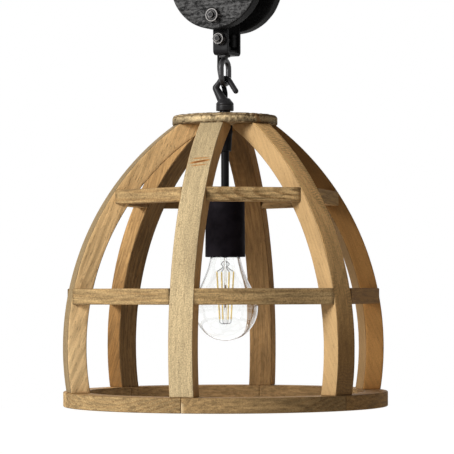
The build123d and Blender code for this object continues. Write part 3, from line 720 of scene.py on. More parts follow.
def wood_finish(name):
    """Straight-grained sawn wood.

    It is weathered outside, warm on its sides and dark inside, with dark growth lines and pale chipped edges.
    """
    wood = bpy.context.scene.pendant_wood
    material, tree, shader, place = new_finish(name)
    grain = add_node(tree, "Attribute", attribute_name="grain").outputs["Vector"]
    face = mark_of(tree, "face")
    outside = spread(tree, face, 0.62, 0.95)
    figure = use_group(tree, sawn_grain(), {"Grain": grain, "Heart": mark_of(tree, "heart"),
                                            "Ring Width": wood.ring_width, "Figure": RING_WARP})
    saw = work(tree, "MULTIPLY", work(tree, "MULTIPLY", figure["Saw"], outside), mark_of(tree, "sawn"))
    base = wood_tint(tree, wood, face, outside, figure)
    base = wood_figure(tree, wood, base, outside, figure)
    base = wood_wear(tree, wood, base, saw, place)
    rough = work(tree, "MULTIPLY_ADD", figure["Fibre"], 0.25, 0.68)
    height = work(tree, "ADD", figure["Fibre"], work(tree, "MULTIPLY", figure["Specks"], 0.5))
    height = work(tree, "SUBTRACT", height, work(tree, "MULTIPLY", figure["Pores"], 0.8))
    height = work(tree, "SUBTRACT", height, work(tree, "MULTIPLY", saw, 0.4))
    shader.inputs["Specular IOR Level"].default_value = 0.12
    feed(tree, shader, base, rough, height, distance=0.0004, strength=0.5)
    return material


def black_wood_finish(name):
    """Wood under thin black paint: the grain shows grey through it on the outer face, the rim and inner face
    stay black as painted shade, and the edges are rubbed.
    """
    metal = bpy.context.scene.pendant_metal
    material, tree, shader, place = new_finish(name)
    grain = add_node(tree, "Attribute", attribute_name="grain").outputs["Vector"]
    figure = use_group(tree, sawn_grain(), {"Grain": grain, "Heart": mark_of(tree, "heart"),
                                            "Ring Width": metal.cheek_ring, "Figure": RING_WARP})
    chips = use_group(tree, edge_wear(), {"Edge": mark_of(tree, "edge"), "Place": place, "Scale": 160.0,
                                          "Amount": -0.1})["Mask"]
    pits = noise(tree, stretch(tree, grain, (330.0, 560.0, 560.0)), detail=4.0, rough=0.7)
    cloud = noise(tree, stretch(tree, grain, (30.0, 95.0, 95.0)), detail=3.0)
    thin = work(tree, "MULTIPLY_ADD", work(tree, "SUBTRACT", figure["Fibre"], 0.5), 0.35, pits)
    thin = work(tree, "MULTIPLY_ADD", work(tree, "SUBTRACT", cloud, 0.5), 0.5, thin)
    thin = work(tree, "MULTIPLY_ADD", figure["Rings"], 0.05, thin)
    # Grey grain only on the outer face: the rim and inner face kept black are painted shade
    thin = work(tree, "MULTIPLY", spread(tree, thin, 0.36, 0.74), mark_of(tree, "face"))
    base = blend_colours(tree, thin, rgba(metal.paint), rgba(metal.paint_worn))
    base = blend_colours(tree, work(tree, "MULTIPLY", chips, 0.2), base, rgba(metal.bare))
    height = work(tree, "MULTIPLY_ADD", figure["Fibre"], 0.4, pits)
    shader.inputs["Specular IOR Level"].default_value = 0.05
    rough = work(tree, "MULTIPLY_ADD", pits, 0.2, 0.5)
    feed(tree, shader, base, rough, height, distance=0.0004, strength=0.6)
    return material


def metal_finish(name, base, rubbed, metallic=0.0, rough=0.4, wear=0.1, specks=0.3, shine=0.5):
    """Metal with a cloudy patina, fine specks and edges rubbed brighter."""
    material, tree, shader, place = new_finish(name)
    age = use_group(tree, patina(), {"Place": place, "Cloud Scale": 90.0, "Speck Scale": 900.0})
    mask = use_group(tree, edge_wear(), {"Edge": mark_of(tree, "edge"), "Place": place, "Scale": 240.0,
                                         "Amount": wear})["Mask"]
    cloud = spread(tree, age["Cloud"], 0.35, 0.65)
    tint = blend_colours(tree, cloud, rgba(base), rgba(scaled(base, 0.55)))
    tint = blend_colours(tree, mask, tint, rgba(rubbed))
    tint = blend_colours(tree, spread(tree, age["Specks"], 0.62, 0.75, 0.0, specks), tint, rgba(rubbed))
    shader.inputs["Metallic"].default_value = metallic
    shader.inputs["Specular IOR Level"].default_value = shine
    rough = work(tree, "MULTIPLY_ADD", age["Cloud"], 0.3, rough - 0.15)
    height = work(tree, "MULTIPLY_ADD", age["Cloud"], 0.6, age["Specks"])
    feed(tree, shader, tint, rough, height, distance=0.0001, strength=0.35)
    return material


def black_steel_finish(name):
    """Blackened steel of the strap, the sheave and the fittings."""
    metal = bpy.context.scene.pendant_metal
    return metal_finish(name, metal.steel, metal.steel_worn, rough=0.5, wear=-0.15, specks=0.04, shine=0.09)


def forged_steel_finish(name):
    """Greyer steel of the hook and what is forged or turned to go with it."""
    metal = bpy.context.scene.pendant_metal
    return metal_finish(name, scaled(metal.steel, 2.2), metal.steel_worn, rough=0.42, specks=0.1, shine=0.15)


def rubbed_steel_finish(name):
    """Steel of the eye bolt, rubbed smooth by the hook."""
    metal = bpy.context.scene.pendant_metal
    return metal_finish(name, scaled(metal.steel, 2.6), metal.steel_worn, rough=0.36, specks=0.15, shine=0.4)


def coated_steel_finish(name):
    """Matt violet-black coat of the lamp holder's cup."""
    metal = bpy.context.scene.pendant_metal
    base = tuple(share * value for share, value in zip((1.8, 1.6, 1.9), metal.steel))
    return metal_finish(name, base, metal.steel, rough=0.6, wear=-0.3, specks=0.05, shine=0.02)


def worn_steel_finish(name):
    """Steel of the bolts, nuts and screws, with bright edges."""
    metal = bpy.context.scene.pendant_metal
    return metal_finish(name, scaled(metal.steel, 1.3), scaled(metal.steel_worn, 3.2), rough=0.42, wear=0.4,
                        specks=0.05, shine=0.1)


def brass_finish(name):
    """Brass of the bush and the contacts."""
    return metal_finish(name, (0.52, 0.36, 0.13), (0.72, 0.55, 0.26), metallic=1.0, rough=0.35)


def cap_finish(name):
    """Bright metal of the bulb's cap."""
    return metal_finish(name, (0.60, 0.58, 0.54), (0.8, 0.78, 0.74), metallic=1.0, rough=0.3)


def plastic_finish(name):
    """Black plastic with a faint mould texture."""
    material, tree, shader, place = new_finish(name)
    age = use_group(tree, patina(), {"Place": place, "Cloud Scale": 120.0, "Speck Scale": 1600.0})
    base = bpy.context.scene.pendant_lamp.plastic
    tint = blend_colours(tree, spread(tree, age["Cloud"], 0.4, 0.7), rgba(base), rgba(scaled(base, 1.6)))
    rough = work(tree, "MULTIPLY_ADD", age["Specks"], 0.2, 0.42)
    shader.inputs["Specular IOR Level"].default_value = 0.04
    feed(tree, shader, tint, rough, age["Specks"], distance=0.00005, strength=0.4)
    return material


def glass_finish(name):
    """Clear glass with a painted dark outline where it is seen along its wall, and a faint unevenness from
    blowing.
    """
    lamp = bpy.context.scene.pendant_lamp
    material, tree, shader, place = new_finish(name)
    age = use_group(tree, patina(), {"Place": place, "Cloud Scale": 45.0, "Speck Scale": 300.0})
    along = add_node(tree, "LayerWeight", {"Blend": 0.5}).outputs["Facing"]
    # Painted dark outline: the glass is tinted grey where it is seen along its wall
    tint = blend_colours(tree, spread(tree, along, 0.5, 0.93), rgba(lamp.clear), rgba(lamp.glass_edge))
    shader.inputs["Specular IOR Level"].default_value = 0.25
    shader.inputs["Transmission Weight"].default_value = 1.0
    shader.inputs["IOR"].default_value = 1.46
    rough = spread(tree, age["Cloud"], 0.3, 0.8, 0.0, 0.01)
    feed(tree, shader, tint, rough, age["Cloud"], distance=0.0002, strength=0.005)
    return material


def wire_finish(name):
    """Dark wires that hold the filaments."""
    return metal_finish(name, (0.03, 0.027, 0.025), (0.1, 0.09, 0.085), metallic=0.2, wear=0.0)


def filament_finish(name):
    """Yellow coat of the filaments, a little grainy and a little bright of its own."""
    material, tree, shader, place = new_finish(name)
    age = use_group(tree, patina(), {"Place": place, "Cloud Scale": 220.0, "Speck Scale": 1800.0})
    base = bpy.context.scene.pendant_lamp.glow
    tint = blend_colours(tree, spread(tree, age["Specks"], 0.35, 0.7), rgba(base), rgba(scaled(base, 0.8)))
    tree.links.new(tint, shader.inputs["Emission Color"])
    shader.inputs["Emission Strength"].default_value = 0.25
    rough = work(tree, "MULTIPLY_ADD", age["Cloud"], 0.2, 0.45)
    feed(tree, shader, tint, rough, age["Specks"], distance=0.0001, strength=0.3)
    return material


FINISHES = {"wood": wood_finish, "black_wood": black_wood_finish, "black_steel": black_steel_finish,
            "forged_steel": forged_steel_finish, "rubbed_steel": rubbed_steel_finish,
            "coated_steel": coated_steel_finish, "worn_steel": worn_steel_finish, "brass": brass_finish,
            "cap_metal": cap_finish, "black_plastic": plastic_finish, "clear_glass": glass_finish,
            "wire": wire_finish, "filament": filament_finish}
MADE = {}


def finish_for(name):
    """The material of a slot or a look, made at its first use."""
    if name not in MADE:
        MADE[name] = FINISHES[name](name + "_finish")
    return MADE[name]


# Wood of the shade

def heart_distance(grain, spot, lean=(0.0, 0.0)):
    """Distance of plank points from the tree's heart.

    The heart is a line along X through the spot (y, z), which goes sideways and up by the lean's shares of x.
    """
    aside = grain[:, 1] - spot[0] - lean[0] * grain[:, 0]
    up = grain[:, 2] - spot[1] - lean[1] * grain[:, 0]
    return np.hypot(aside, up)


# Step from one piece's patch of plank to the next one's
PATCH = np.array([0.61, 0.173, 0.29])


def sawn_marks(grain, normals, seed, spot, lean=(0.0, 0.0), pale=0.0, sawn=0.0, light=1.0, warm=0.0):
    """Marks that the wood's material reads at each point.

    They are the place in the piece's own patch of plank, the distance from the heart, 1 on the outer face and
    0 on the inner one, how pale, sawn, resinous, freshly broken, calm in its grain and red it is, and its
    light: a lightness that is partly its own tone and partly painted light and shade.
    """
    marks = {"grain": grain + PATCH * seed, "heart": heart_distance(grain, spot, lean),
             "face": normals[:, 2] * 0.5 + 0.5}
    plain = {"pale": pale, "sawn": sawn, "resin": 0.0, "light": light, "fresh": 0.0, "calm": pale,
             "warm": warm}
    marks.update({label: np.full(len(grain), value) for label, value in plain.items()})
    return marks


# Steps of a plank's grid along it, along it where it has fine streaks, and across it
PLANK_STEP, STREAK_STEP, ACROSS_STEP = 0.003, 0.0008, 0.0025


class PENDANT_OT_ribs(bpy.types.Operator):
    """Six ribs cut from straight planks to one arc"""
    bl_idname = "pendant.ribs"
    bl_label = "Ribs"

    def execute(self, context):
        for number in RIB_NUMBERS:
            sawn_rib(context.scene.pendant_wood, number)
        return {"FINISHED"}


# The lightness columns are partly the wood's own tone and partly painted light and shade
# Paleness, saw marks, lightness of the sides and of the outer face, reddening
RIB_LOOKS = {1: (1.0, 0.25, 0.84, 0.8, 0.0), 2: (0.7, 1.0, 0.86, 1.0, 0.2), 3: (0.1, 0.3, 1.0, 1.0, 0.85),
             4: (0.0, 0.2, 0.9, 0.9, 0.3), 5: (0.0, 0.4, 0.7, 0.72, 0.35), 6: (0.8, 0.3, 1.37, 0.46, 0.1)}
# The rib with resin streaks, and the height, half width, strength and slope of each
STREAKED_RIB = 1
RESIN_STREAKS = ((0.2246, 0.0007, 0.55, 0.05), (0.2214, 0.001, 1.0, 0.17), (0.2180, 0.0008, 0.5, 0.1))


def resin_streaks(rise, across):
    """Dark streaks across a rib: strength times exp(-(distance / half width)^2), fading to its sides."""
    fade = np.clip(1.6 - np.abs(across - 0.0005) / 0.0072, 0.0, 1.0)
    bands = [strong * np.exp(-((rise - height - slope * across) / wide) ** 2) * fade
             for height, wide, strong, slope in RESIN_STREAKS]
    return np.max(bands, axis=0)


def paint_rib(marks, number, rise, across, normals):
    """Gives one rib its own marks, by its faces and by the height above the ring's underside, painted light
    and shade among them.
    """
    pale, sawn, light, outer_painted_light, warm = RIB_LOOKS[number]
    outer, inside = normals[:, 2] > 0.5, normals[:, 2] < -0.5
    if number == STREAKED_RIB:
        marks["warm"] = np.where(outer, 0.0, 0.6)
        marks["resin"] = resin_streaks(rise, across) * outer
    elif number == 2:
        # Painted light from above: the outer face of rib 2 is lighter towards the top
        outer_painted_light = by_place(rise, {0.03: 0.5, 0.06: 0.6, 0.1: 1.4, 0.16: 2.15, 0.2: 2.15})
        marks["warm"] = np.where(outer, by_place(rise, {0.05: 0.6, 0.12: 0.15}), warm)
        marks["pale"] = np.where(outer, 0.0, pale)
        marks["face"] = np.where(outer, 0.76, marks["face"])
        marks["sawn"] = np.where(outer, 3.2, sawn)
        marks["calm"] = np.where(outer, 1.1, 1.5)
    elif number == 3:
        # Painted shade: the sides of rib 3 are darker towards the top, behind rib 2
        light = by_place(rise, {0.03: 1.12, 0.1: 1.12, 0.16: 0.8, 0.23: 0.48})
        marks["calm"][:] = 1.5
        marks["warm"] = np.where(inside, 0.15, warm)
    elif number == 4:
        marks["warm"] = by_place(rise, {0.1: 0.3, 0.22: 0.75})
        # Rib 4 darker towards the top
        light = light * by_place(rise, {0.03: 1.12, 0.07: 1.05, 0.12: 0.8, 0.22: 0.66})
    elif number == 5:
        # Rib 5 darker towards the bottom and on its inside
        light = light * by_place(rise, {0.04: 0.6, 0.1: 0.8, 0.15: 1.05})
        light = np.where(inside, 0.8, light)
        marks["warm"] = np.where(inside, 0.1, by_place(rise, {0.05: 0.9, 0.14: 0.25}))
    else:
        marks["pale"] = np.where(outer, 0.5, by_place(rise, {0.03: 1.4, 0.1: 1.0, 0.2: 0.6}))
    marks["light"] = np.where(outer, outer_painted_light, light)


def sawn_rib(wood, number):
    """One rib: a plank point (x along, y across, z out) lies on an arc of radius R about the arcs' middle.

    The middle lies on the inner side of the line from the outside of the foot to the outside of the head,
    the outer arc's radius from both. A point's angle goes from the foot, where R sin(angle) reaches the
    ring's top, to the head, where it reaches the disc or R cos(angle) reaches the heel, in step with x. The
    grain keeps to that line.
    """
    node = f"rib_{number}"
    _, _, _, out, side = around_axis(node, wood, number)
    foot_spot = np.array([RING_OUT - wood.foot_setback, RING_TOP - RING_LOW])
    head_spot = np.array([DISC_OUT - wood.head_setback, DISC_LOW - RING_LOW])
    chord = head_spot - foot_spot
    span = np.linalg.norm(chord)
    lean = chord / span
    inward = np.array([-lean[1], lean[0]])
    arc_middle = (foot_spot + head_spot) / 2 + math.sqrt(wood.rib_arc ** 2 - span ** 2 / 4) * inward
    foot_up, head_up = foot_spot[1] - arc_middle[1], head_spot[1] - arc_middle[1]
    length = wood.rib_arc * (math.asin(head_up / wood.rib_arc) - math.asin(foot_up / wood.rib_arc))
    steps = (STREAK_STEP if number == STREAKED_RIB else PLANK_STEP, ACROSS_STEP, ACROSS_STEP)
    points, quads, normals, edge = plank((length, wood.rib_width, wood.rib_depth), wood.edge, steps)
    points = worn(points, normals, edge, wood.chips, number)
    radius = wood.rib_arc - wood.rib_depth * (0.5 - points[:, 2] / wood.rib_depth)
    foot = np.arcsin(foot_up / radius)
    head = np.minimum(np.arcsin(head_up / radius), np.arccos((wood.rib_heel - arc_middle[0]) / radius))
    angle = foot + (head - foot) * (points[:, 0] / length + 0.5)
    reach = arc_middle[0] + radius * np.cos(angle)
    rise = arc_middle[1] + radius * np.sin(angle)
    placed = on_shade(reach, points[:, 1], RING_LOW + rise, out, side)
    along = (reach - foot_spot[0]) * lean[0] + (rise - foot_spot[1]) * lean[1]
    depth = (reach - foot_spot[0]) * lean[1] - (rise - foot_spot[1]) * lean[0]
    straight = np.stack([along, points[:, 1], depth], axis=1)
    on_side = np.abs(normals[:, 1:2]) > 0.5
    pale, sawn, light, _, warm = RIB_LOOKS[number]
    heart = (0.035 - 0.009 * number, -0.06 + 0.013 * number)
    marks = sawn_marks(np.where(on_side, straight, points), normals, number, heart, pale=pale, sawn=sawn,
                       light=light, warm=warm)
    marks["heart"] = heart_distance(straight, heart, (0.02, -0.03))
    paint_rib(marks, number, rise, points[:, 1], normals)
    return add_piece(f"sawn_rib_{number}", (placed, quads, edge), "shade", "wood", [node], marks)


# Seeds of the slats' rows, to which a slat's number is added
UPPER_SEED, MIDDLE_SEED = 10, 20


class PENDANT_OT_slats(bpy.types.Operator):
    """Upper and middle slats between the ribs"""
    bl_idname = "pendant.slats"
    bl_label = "Slats"

    def execute(self, context):
        for number in RIB_NUMBERS:
            sawn_slat(context.scene.pendant_wood, "upper_slat", number, UPPER_SEED + number)
            sawn_slat(context.scene.pendant_wood, "middle_slat", number, MIDDLE_SEED + number)
        return {"FINISHED"}


# Lightness of each row of slats, partly tone and partly painted light and shade
SLAT_LIGHT = {"upper_slat": 0.82, "middle_slat": 0.72}
# Their lightness is partly tone and partly painted light and shade
# Paleness, which also calms the grain, lightness and reddening of the slats that differ, by their seeds
OWN_SLAT_LOOKS = {11: (-1.0, 1.08, 0.1), 12: (0.2, 0.85, 0.5), 22: (0.0, 0.76 * 0.72, 1.0)}
# Place and lean of the tree's heart in most slats, and in the slat that has it inside
SLAT_HEART = ((0.021, -0.034), (0.01, 0.03))
HEARTED_SLAT, INNER_HEART = 11, ((0.004, -0.005), (0.0, 0.22))
# Slats whose right end is freshly cut, and whose left end is paler
FRESH_SLAT, PALE_END_SLAT = 12, 21
# Length of a slat's end that is darkened by dirt and painted shade in its joint, or is freshly cut
SLAT_END = 0.004
# Points of a CAD node this near to its outermost or innermost one lie on its face
NEAR_FACE = 1e-4


def sawn_slat(wood, row, number, seed):
    """One slat: a plank whose half length goes in step from its back's to its face's, for mitred ends."""
    node = f"{row}_{number}"
    reach, sideways, height, out, side = around_axis(node, wood, number, True)
    face, back = reach.max(), reach.min()
    half_face = np.abs(sideways[reach > face - NEAR_FACE]).max()
    half_back = np.abs(sideways[reach < back + NEAR_FACE]).max()
    low, high = height.min(), height.max()
    sides = (2 * half_face, high - low, face - back)
    points, quads, normals, edge = plank(sides, wood.edge, (PLANK_STEP, ACROSS_STEP, ACROSS_STEP))
    points = worn(points, normals, edge, 0.7 * wood.chips, seed)
    share = points[:, 2] / (face - back) + 0.5
    half = half_back + (half_face - half_back) * share
    placed = on_shade(back + (face - back) * share, points[:, 0] / half_face * half,
                      (low + high) / 2 + points[:, 1], out, side)
    spot, lean = INNER_HEART if seed == HEARTED_SLAT else SLAT_HEART
    pale, light, warm = OWN_SLAT_LOOKS.get(seed, (0.0, SLAT_LIGHT[row], 0.1))
    marks = sawn_marks(points, normals, seed, spot, lean, pale, sawn=0.15, light=light, warm=warm)
    if seed == PALE_END_SLAT:
        marks["light"] *= by_place(points[:, 0] / half_face, {-1.0: 1.95, -0.4: 1.6, 0.2: 1.05})
    if seed == FRESH_SLAT:
        marks["fresh"] = 0.3 * np.clip((points[:, 0] - half_face) / SLAT_END + 1.4, 0.0, 1.0)
    else:
        # Ends darkened towards the joints with the ribs: dirt together with painted shade
        marks["light"] *= 1 - 0.55 * np.clip(1 - (half_face - np.abs(points[:, 0])) / SLAT_END, 0.0, 1.0)
    return add_piece("sawn_" + node, (placed, quads, edge), "shade", "wood", [node], marks)


class PENDANT_OT_ring(bpy.types.Operator):
    """Six segments of the bottom ring"""
    bl_idname = "pendant.ring"
    bl_label = "Bottom ring"

    def execute(self, context):
        for number in RIB_NUMBERS:
            ring_segment(context.scene.pendant_wood, number)
        return {"FINISHED"}


# This lightness is partly tone and partly painted light and shade
# Lightness and reddening of the segments that differ from the others, and of the others
SEGMENT_LOOKS = {1: (0.6, 0.1), 2: (0.58, 0.55), 6: (0.71, 0.1)}
SEGMENT_LOOK = (1.0, 0.1)
# Segments in front, and the one with a splinter at the lower part of its joint
FRONT_SEGMENTS, SPLIT_SEGMENT = (1, 2), 1
RING_SEED = 30
SPLINTER = 0.003


def ring_segment(wood, number):
    """One segment: a plank bent round the ring, x to an angle and z to a radius, its grain left straight."""
    node = f"ring_segment_{number}"
    reach, sideways, height, out, side = around_axis(node, wood, number, True)
    distance = np.hypot(reach, sideways)
    inner, outer = distance.min(), distance.max()
    half_angle = np.abs(np.arctan2(sideways, reach)).max()
    length = outer * half_angle * 2
    sides = (length, height.max() - height.min(), outer - inner)
    points, quads, normals, edge = plank(sides, wood.edge, PLANK_STEP)
    points = worn(points, normals, edge, wood.chips, RING_SEED + number)
    angle = points[:, 0] / length * 2 * half_angle
    radius = (inner + outer) / 2 + points[:, 2]
    grain = np.stack([radius * np.sin(angle), points[:, 1], radius * np.cos(angle) - inner], axis=1)
    placed = on_shade(radius * np.cos(angle), radius * np.sin(angle),
                      (RING_LOW + RING_TOP) / 2 + points[:, 1], out, side)
    light, warm = SEGMENT_LOOKS.get(number, SEGMENT_LOOK)
    marks = sawn_marks(grain, normals, RING_SEED + number, (-0.045, -0.03), (0.03, 0.02), sawn=0.1,
                       light=light, warm=warm)
    outside = normals[:, 2] > 0.5
    if number in FRONT_SEGMENTS:
        marks["face"] = np.where(outside, 0.8, marks["face"])
    if number == SPLIT_SEGMENT:
        at_joint = np.clip(1 - (points[:, 0] + length / 2) / SPLINTER, 0.0, 1.0)
        marks["fresh"] = 0.8 * at_joint * outside * (points[:, 1] < SPLINTER)
    return add_piece(f"sawn_{node}", (placed, quads, edge), "shade", "wood", [node], marks)


class PENDANT_OT_disc(bpy.types.Operator):
    """Top disc with a rough rounded rim"""
    bl_idname = "pendant.disc"
    bl_label = "Top disc"

    def execute(self, context):
        top_disc()
        return {"FINISHED"}


DISC_SEED = 41


def top_disc():
    """The disc: a rounded outline turned about the axis, whose rim sinks by two ripples of its own place.

    Its grain is turned by 26 degrees. The rim's lightness follows a sine of the height, pits and the place
    along X.
    """
    low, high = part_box("top_disc")
    radius, thick = (high.x - low.x) / 2, high.z - low.z
    outline = [(0.0, thick), (radius, thick), (radius, 0.0), (0.0, 0.0)]
    upper_round, lower_round, rim_start, rim_run, rim_depth = 0.0036, 0.0012, 0.006, 0.004, 0.0011
    points, quads, edge = turned(outline, [0, upper_round, lower_round, 0], steps=240, step=0.0012)
    distance = np.hypot(points[:, 0], points[:, 1])
    rim = np.clip((distance - radius + rim_start) / rim_run, 0.0, 1.0)
    sink = rim * np.clip(ripple(points, 0.016, 5) + 0.6 * ripple(points, 0.005, 6), 0.0, 1.4) * rim_depth
    points = points * (1 - sink / np.maximum(distance, 1e-6))[:, None] ** np.array([1.0, 1.0, 0.0])
    points[:, 2] -= 0.7 * sink * (points[:, 2] > 0.5 * thick)
    outward = np.stack([0 * rim, 0 * rim, np.where(distance > radius - 0.003, 0.75, 0.2)], axis=1)
    grain = points @ np.array([[0.9, 0.44, 0], [-0.44, 0.9, 0], [0, 0, 1.0]])
    marks = sawn_marks(grain, outward, DISC_SEED, (0.01, -0.03), (0.0, 0.02), pale=1.0, light=0.56)
    layer = np.sin(points[:, 2] / thick * 2 * math.pi - 1.9 + 0.8 * ripple(points, 0.03, 7))
    right = points[:, 0] / radius
    # Pits and darkening grow towards the left, and the rim is lighter right of the middle
    towards_left = np.clip(-1.5 * right - 0.4, 0.0, 1.0)
    pits = ripple(points, 0.0029, 10) + 0.7 * ripple(points, 0.01, 12) - 0.35 + 0.35 * towards_left
    marks["light"] *= 1.12 * (1 + 0.48 * rim * layer) * (1 - 0.85 * rim * np.clip(pits, 0.0, 1.0))
    marks["light"] *= by_place(right, {-0.9: 0.62, -0.35: 0.72, 0.0: 1.25, 0.4: 1.4, 0.9: 0.95})
    spots = np.clip(ripple(points, 0.007, 8) + 1.4 * ripple(points, 0.02, 9) - 0.4, 0.0, 0.3)
    marks["resin"] = spots * rim * (points[:, 0] + points[:, 1] > 0.01)
    placed = points + np.array([SHADE_AXIS[0], SHADE_AXIS[1], low.z])
    return add_piece("sawn_top_disc", (placed, quads, edge), "shade", "wood", ["top_disc"], marks)


# Pulley block

class PENDANT_OT_block(bpy.types.Operator):
    """Painted cheeks and the bent strap"""
    bl_idname = "pendant.block"
    bl_label = "Cheeks and strap"

    def execute(self, context):
        painted_cheek("front_cheek", 51)
        painted_cheek("rear_cheek", 52)
        bent_strap(context.scene.pendant_metal)
        return {"FINISHED"}


def painted_cheek(node, seed):
    """A cheek: a disc with chamfered edges turned about the axle, its grain lying level."""
    low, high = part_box(node)
    radius, thick = (high.x - low.x) / 2, high.y - low.y
    bevel, soft, rim_width, dent_share = 0.0009, 0.0006, 0.003, 0.012
    outline = [(0.0, 0.0), (radius - bevel, 0.0), (radius, bevel), (radius, thick - bevel),
               (radius - bevel, thick), (0.0, thick)]
    surface = turned(outline, [0, soft, soft, soft, soft, 0], steps=144, step=0.0016)
    points, quads, edge = laid_along_y(surface)
    rim = np.clip((np.hypot(points[:, 0], points[:, 2]) - radius + rim_width) / rim_width, 0.0, 1.0)
    dents = np.clip(ripple(points, 0.014, seed), 0.0, 1.2) * edge * rim
    points = points * (1 - dent_share * dents[:, None] * np.array([1.0, 0.0, 1.0]))
    grain = points[:, [0, 2, 1]]
    outer_face = 0.0 if low.y < 0 else thick
    # The face mark is 1 on the outer face only, so the rim and inner face stay black as painted shade
    marks = {"grain": grain + PATCH * seed, "heart": heart_distance(grain, (0.07, -0.02), (0.05, 0.0)),
             "face": 0.08 + 0.92 * (np.abs(points[:, 1] - outer_face) < 0.0003)}
    placed = points + np.array([0.0, low.y, AXLE_Z])
    return add_piece("painted_" + node, (placed, quads, edge), "block", "black_wood", [node], marks)


def bent_strap(metal):
    """The strap: a flat bar whose length follows a U, square to it in thickness, with half-round ends.

    Near an end the half width w becomes sqrt(w^2 - d^2), where d is how far the point lies past the middle of
    the end's circle.
    """
    low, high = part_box("strap")
    thick, width = metal.strap_thickness, high.x - low.x
    y, top, bottom = high.y - thick / 2, high.z, low.z + thick / 2
    corners = [(-y, top), (-y, bottom), (y, bottom), (y, top)]
    path, _ = rounded(corners, metal.strap_bend - thick / 2, steps=10)
    path, _ = resampled(path, 0.001)
    run = lengths_along(path)
    length = run[-1]
    points, quads, _, edge = plank((length, width, thick), 0.0005, (0.001, 0.0012, 0.001))
    along = points[:, 0] + length / 2
    past = np.maximum(width / 2 - along, along - length + width / 2)
    past = np.clip(past, 0.0, width / 2 - 2e-5)
    across = points[:, 1] * np.sqrt(np.maximum(1 - (past / (width / 2)) ** 2, 1e-3))
    slope = np.gradient(path, axis=0) / np.gradient(run)[:, None]
    spot = [np.interp(along, run, path[:, i]) for i in (0, 1)]
    way = [np.interp(along, run, slope[:, i]) for i in (0, 1)]
    out = points[:, 2] / np.maximum(np.hypot(*way), 1e-9)
    placed = np.stack([across, spot[0] + out * way[1], spot[1] - out * way[0]], axis=1)
    return add_piece("bent_strap", (placed, quads, edge), "block", "black_steel", ["strap"])


class PENDANT_OT_sheave(bpy.types.Operator):
    """Grooved sheave on its bush"""
    bl_idname = "pendant.sheave"
    bl_label = "Sheave"

    def execute(self, context):
        turned_sheave()
        return {"FINISHED"}


def turned_sheave():
    """The sheave and its bush, outlines turned about Y.

    The rim's groove is half round: a point lies groove cos(a) in from its middle and groove sin(a) along.
    """
    low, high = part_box("sheave")
    bush_low, bush_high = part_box("sheave_bush")
    radius, half = (high.x - low.x) / 2, (high.y - low.y) / 2
    bore, bush_bore = (bush_high.x - bush_low.x) / 2, 0.00505
    groove, groove_out, groove_turn = 0.005, 0.0015, 1.25
    hub, hub_foot, web, rim_step, web_step = 0.012, 0.0125, 0.018, 0.0025, 0.0035
    angles = np.linspace(-groove_turn, groove_turn, 19)
    hollow = np.stack([radius + groove_out - groove * np.cos(angles), groove * np.sin(angles)], axis=1)
    side = [(bore, -half), (hub, -half), (hub_foot, rim_step - half), (web, web_step - half),
            (radius, rim_step - half)]
    outline = side + hollow.tolist() + [(r, -h) for r, h in side[::-1]]
    surface = laid_along_y(turned(outline, 0.0007, closed=True, steps=120))
    spot = np.array([0.0, (low.y + high.y) / 2, AXLE_Z])
    add_piece("turned_sheave", moved(surface, spot), "sheave", "black_steel", ["sheave"])
    long = bush_high.y - bush_low.y
    outline = [(bush_bore, 0.0), (bore, 0.0), (bore, long), (bush_bore, long)]
    surface = laid_along_y(turned(outline, 0.0004, closed=True))
    spot = np.array([0.0, bush_low.y, AXLE_Z])
    add_piece("turned_bush", moved(surface, spot), "sheave", "brass", ["sheave_bush"])


# Fasteners

# Radius of the flat face of a nut or head, as a share of its width across the flats
FACE_SHARE = 0.475


def hexagon_cone(flats):
    """Radius of a hexagon's corners and of its flat face, and the drop of the 30 degree cone between them."""
    corner, face = flats / 2 / math.cos(math.pi / 6), FACE_SHARE * flats
    return corner, face, (corner - face) * math.tan(math.pi / 6)


def nut(flats, bore, height):
    """Hexagon nut: an outline with 30 degree cones at both faces, held inside a hexagon."""
    corner, face, drop = hexagon_cone(flats)
    lead_in = 0.0006
    outline = [(bore, lead_in), (bore + lead_in, 0.0), (face, 0.0), (corner, drop), (corner, height - drop),
               (face, height), (bore + lead_in, height), (bore, height - lead_in)]
    rims = [0.0002, 0.0002, 0.0008, 0.0003, 0.0003, 0.0008, 0.0002, 0.0002]
    return turned(outline, rims, closed=True, limit=hexagon(flats), steps=72)


def hexagon_head(flats, height):
    """Bolt head: a flat-bottomed hexagon with a cone on its outer face at height 0."""
    corner, face, drop = hexagon_cone(flats)
    outline = [(0.0, 0.0), (face, 0.0), (corner, drop), (corner, height), (0.0, height)]
    return turned(outline, [0, 0.0004, 0.0003, 0.0002, 0], limit=hexagon(flats), steps=72)


def threaded_rod(radius, length, pitch, low, high):
    """Rod with a rounded start and a thread between two heights."""
    outline = [(0.0, 0.0), (radius - 0.0006, 0.0), (radius, 0.0007), (radius, length), (0.0, length)]
    thread = (pitch, 0.45 * pitch, low, high, 0.6 * radius)
    return turned(outline, [0, 0.0003, 0.0003, 0, 0], thread=thread, steps=40, step=pitch / 5)


class PENDANT_OT_fasteners(bpy.types.Operator):
    """Bolts, nuts, spacers and screws"""
    bl_idname = "pendant.fasteners"
    bl_label = "Fasteners"

    def execute(self, context):
        cross_bolts(context.scene.pendant_metal)
        wood_screws(context.scene.pendant_wood)
        turned_spacers(context.scene.pendant_metal)
        return {"FINISHED"}


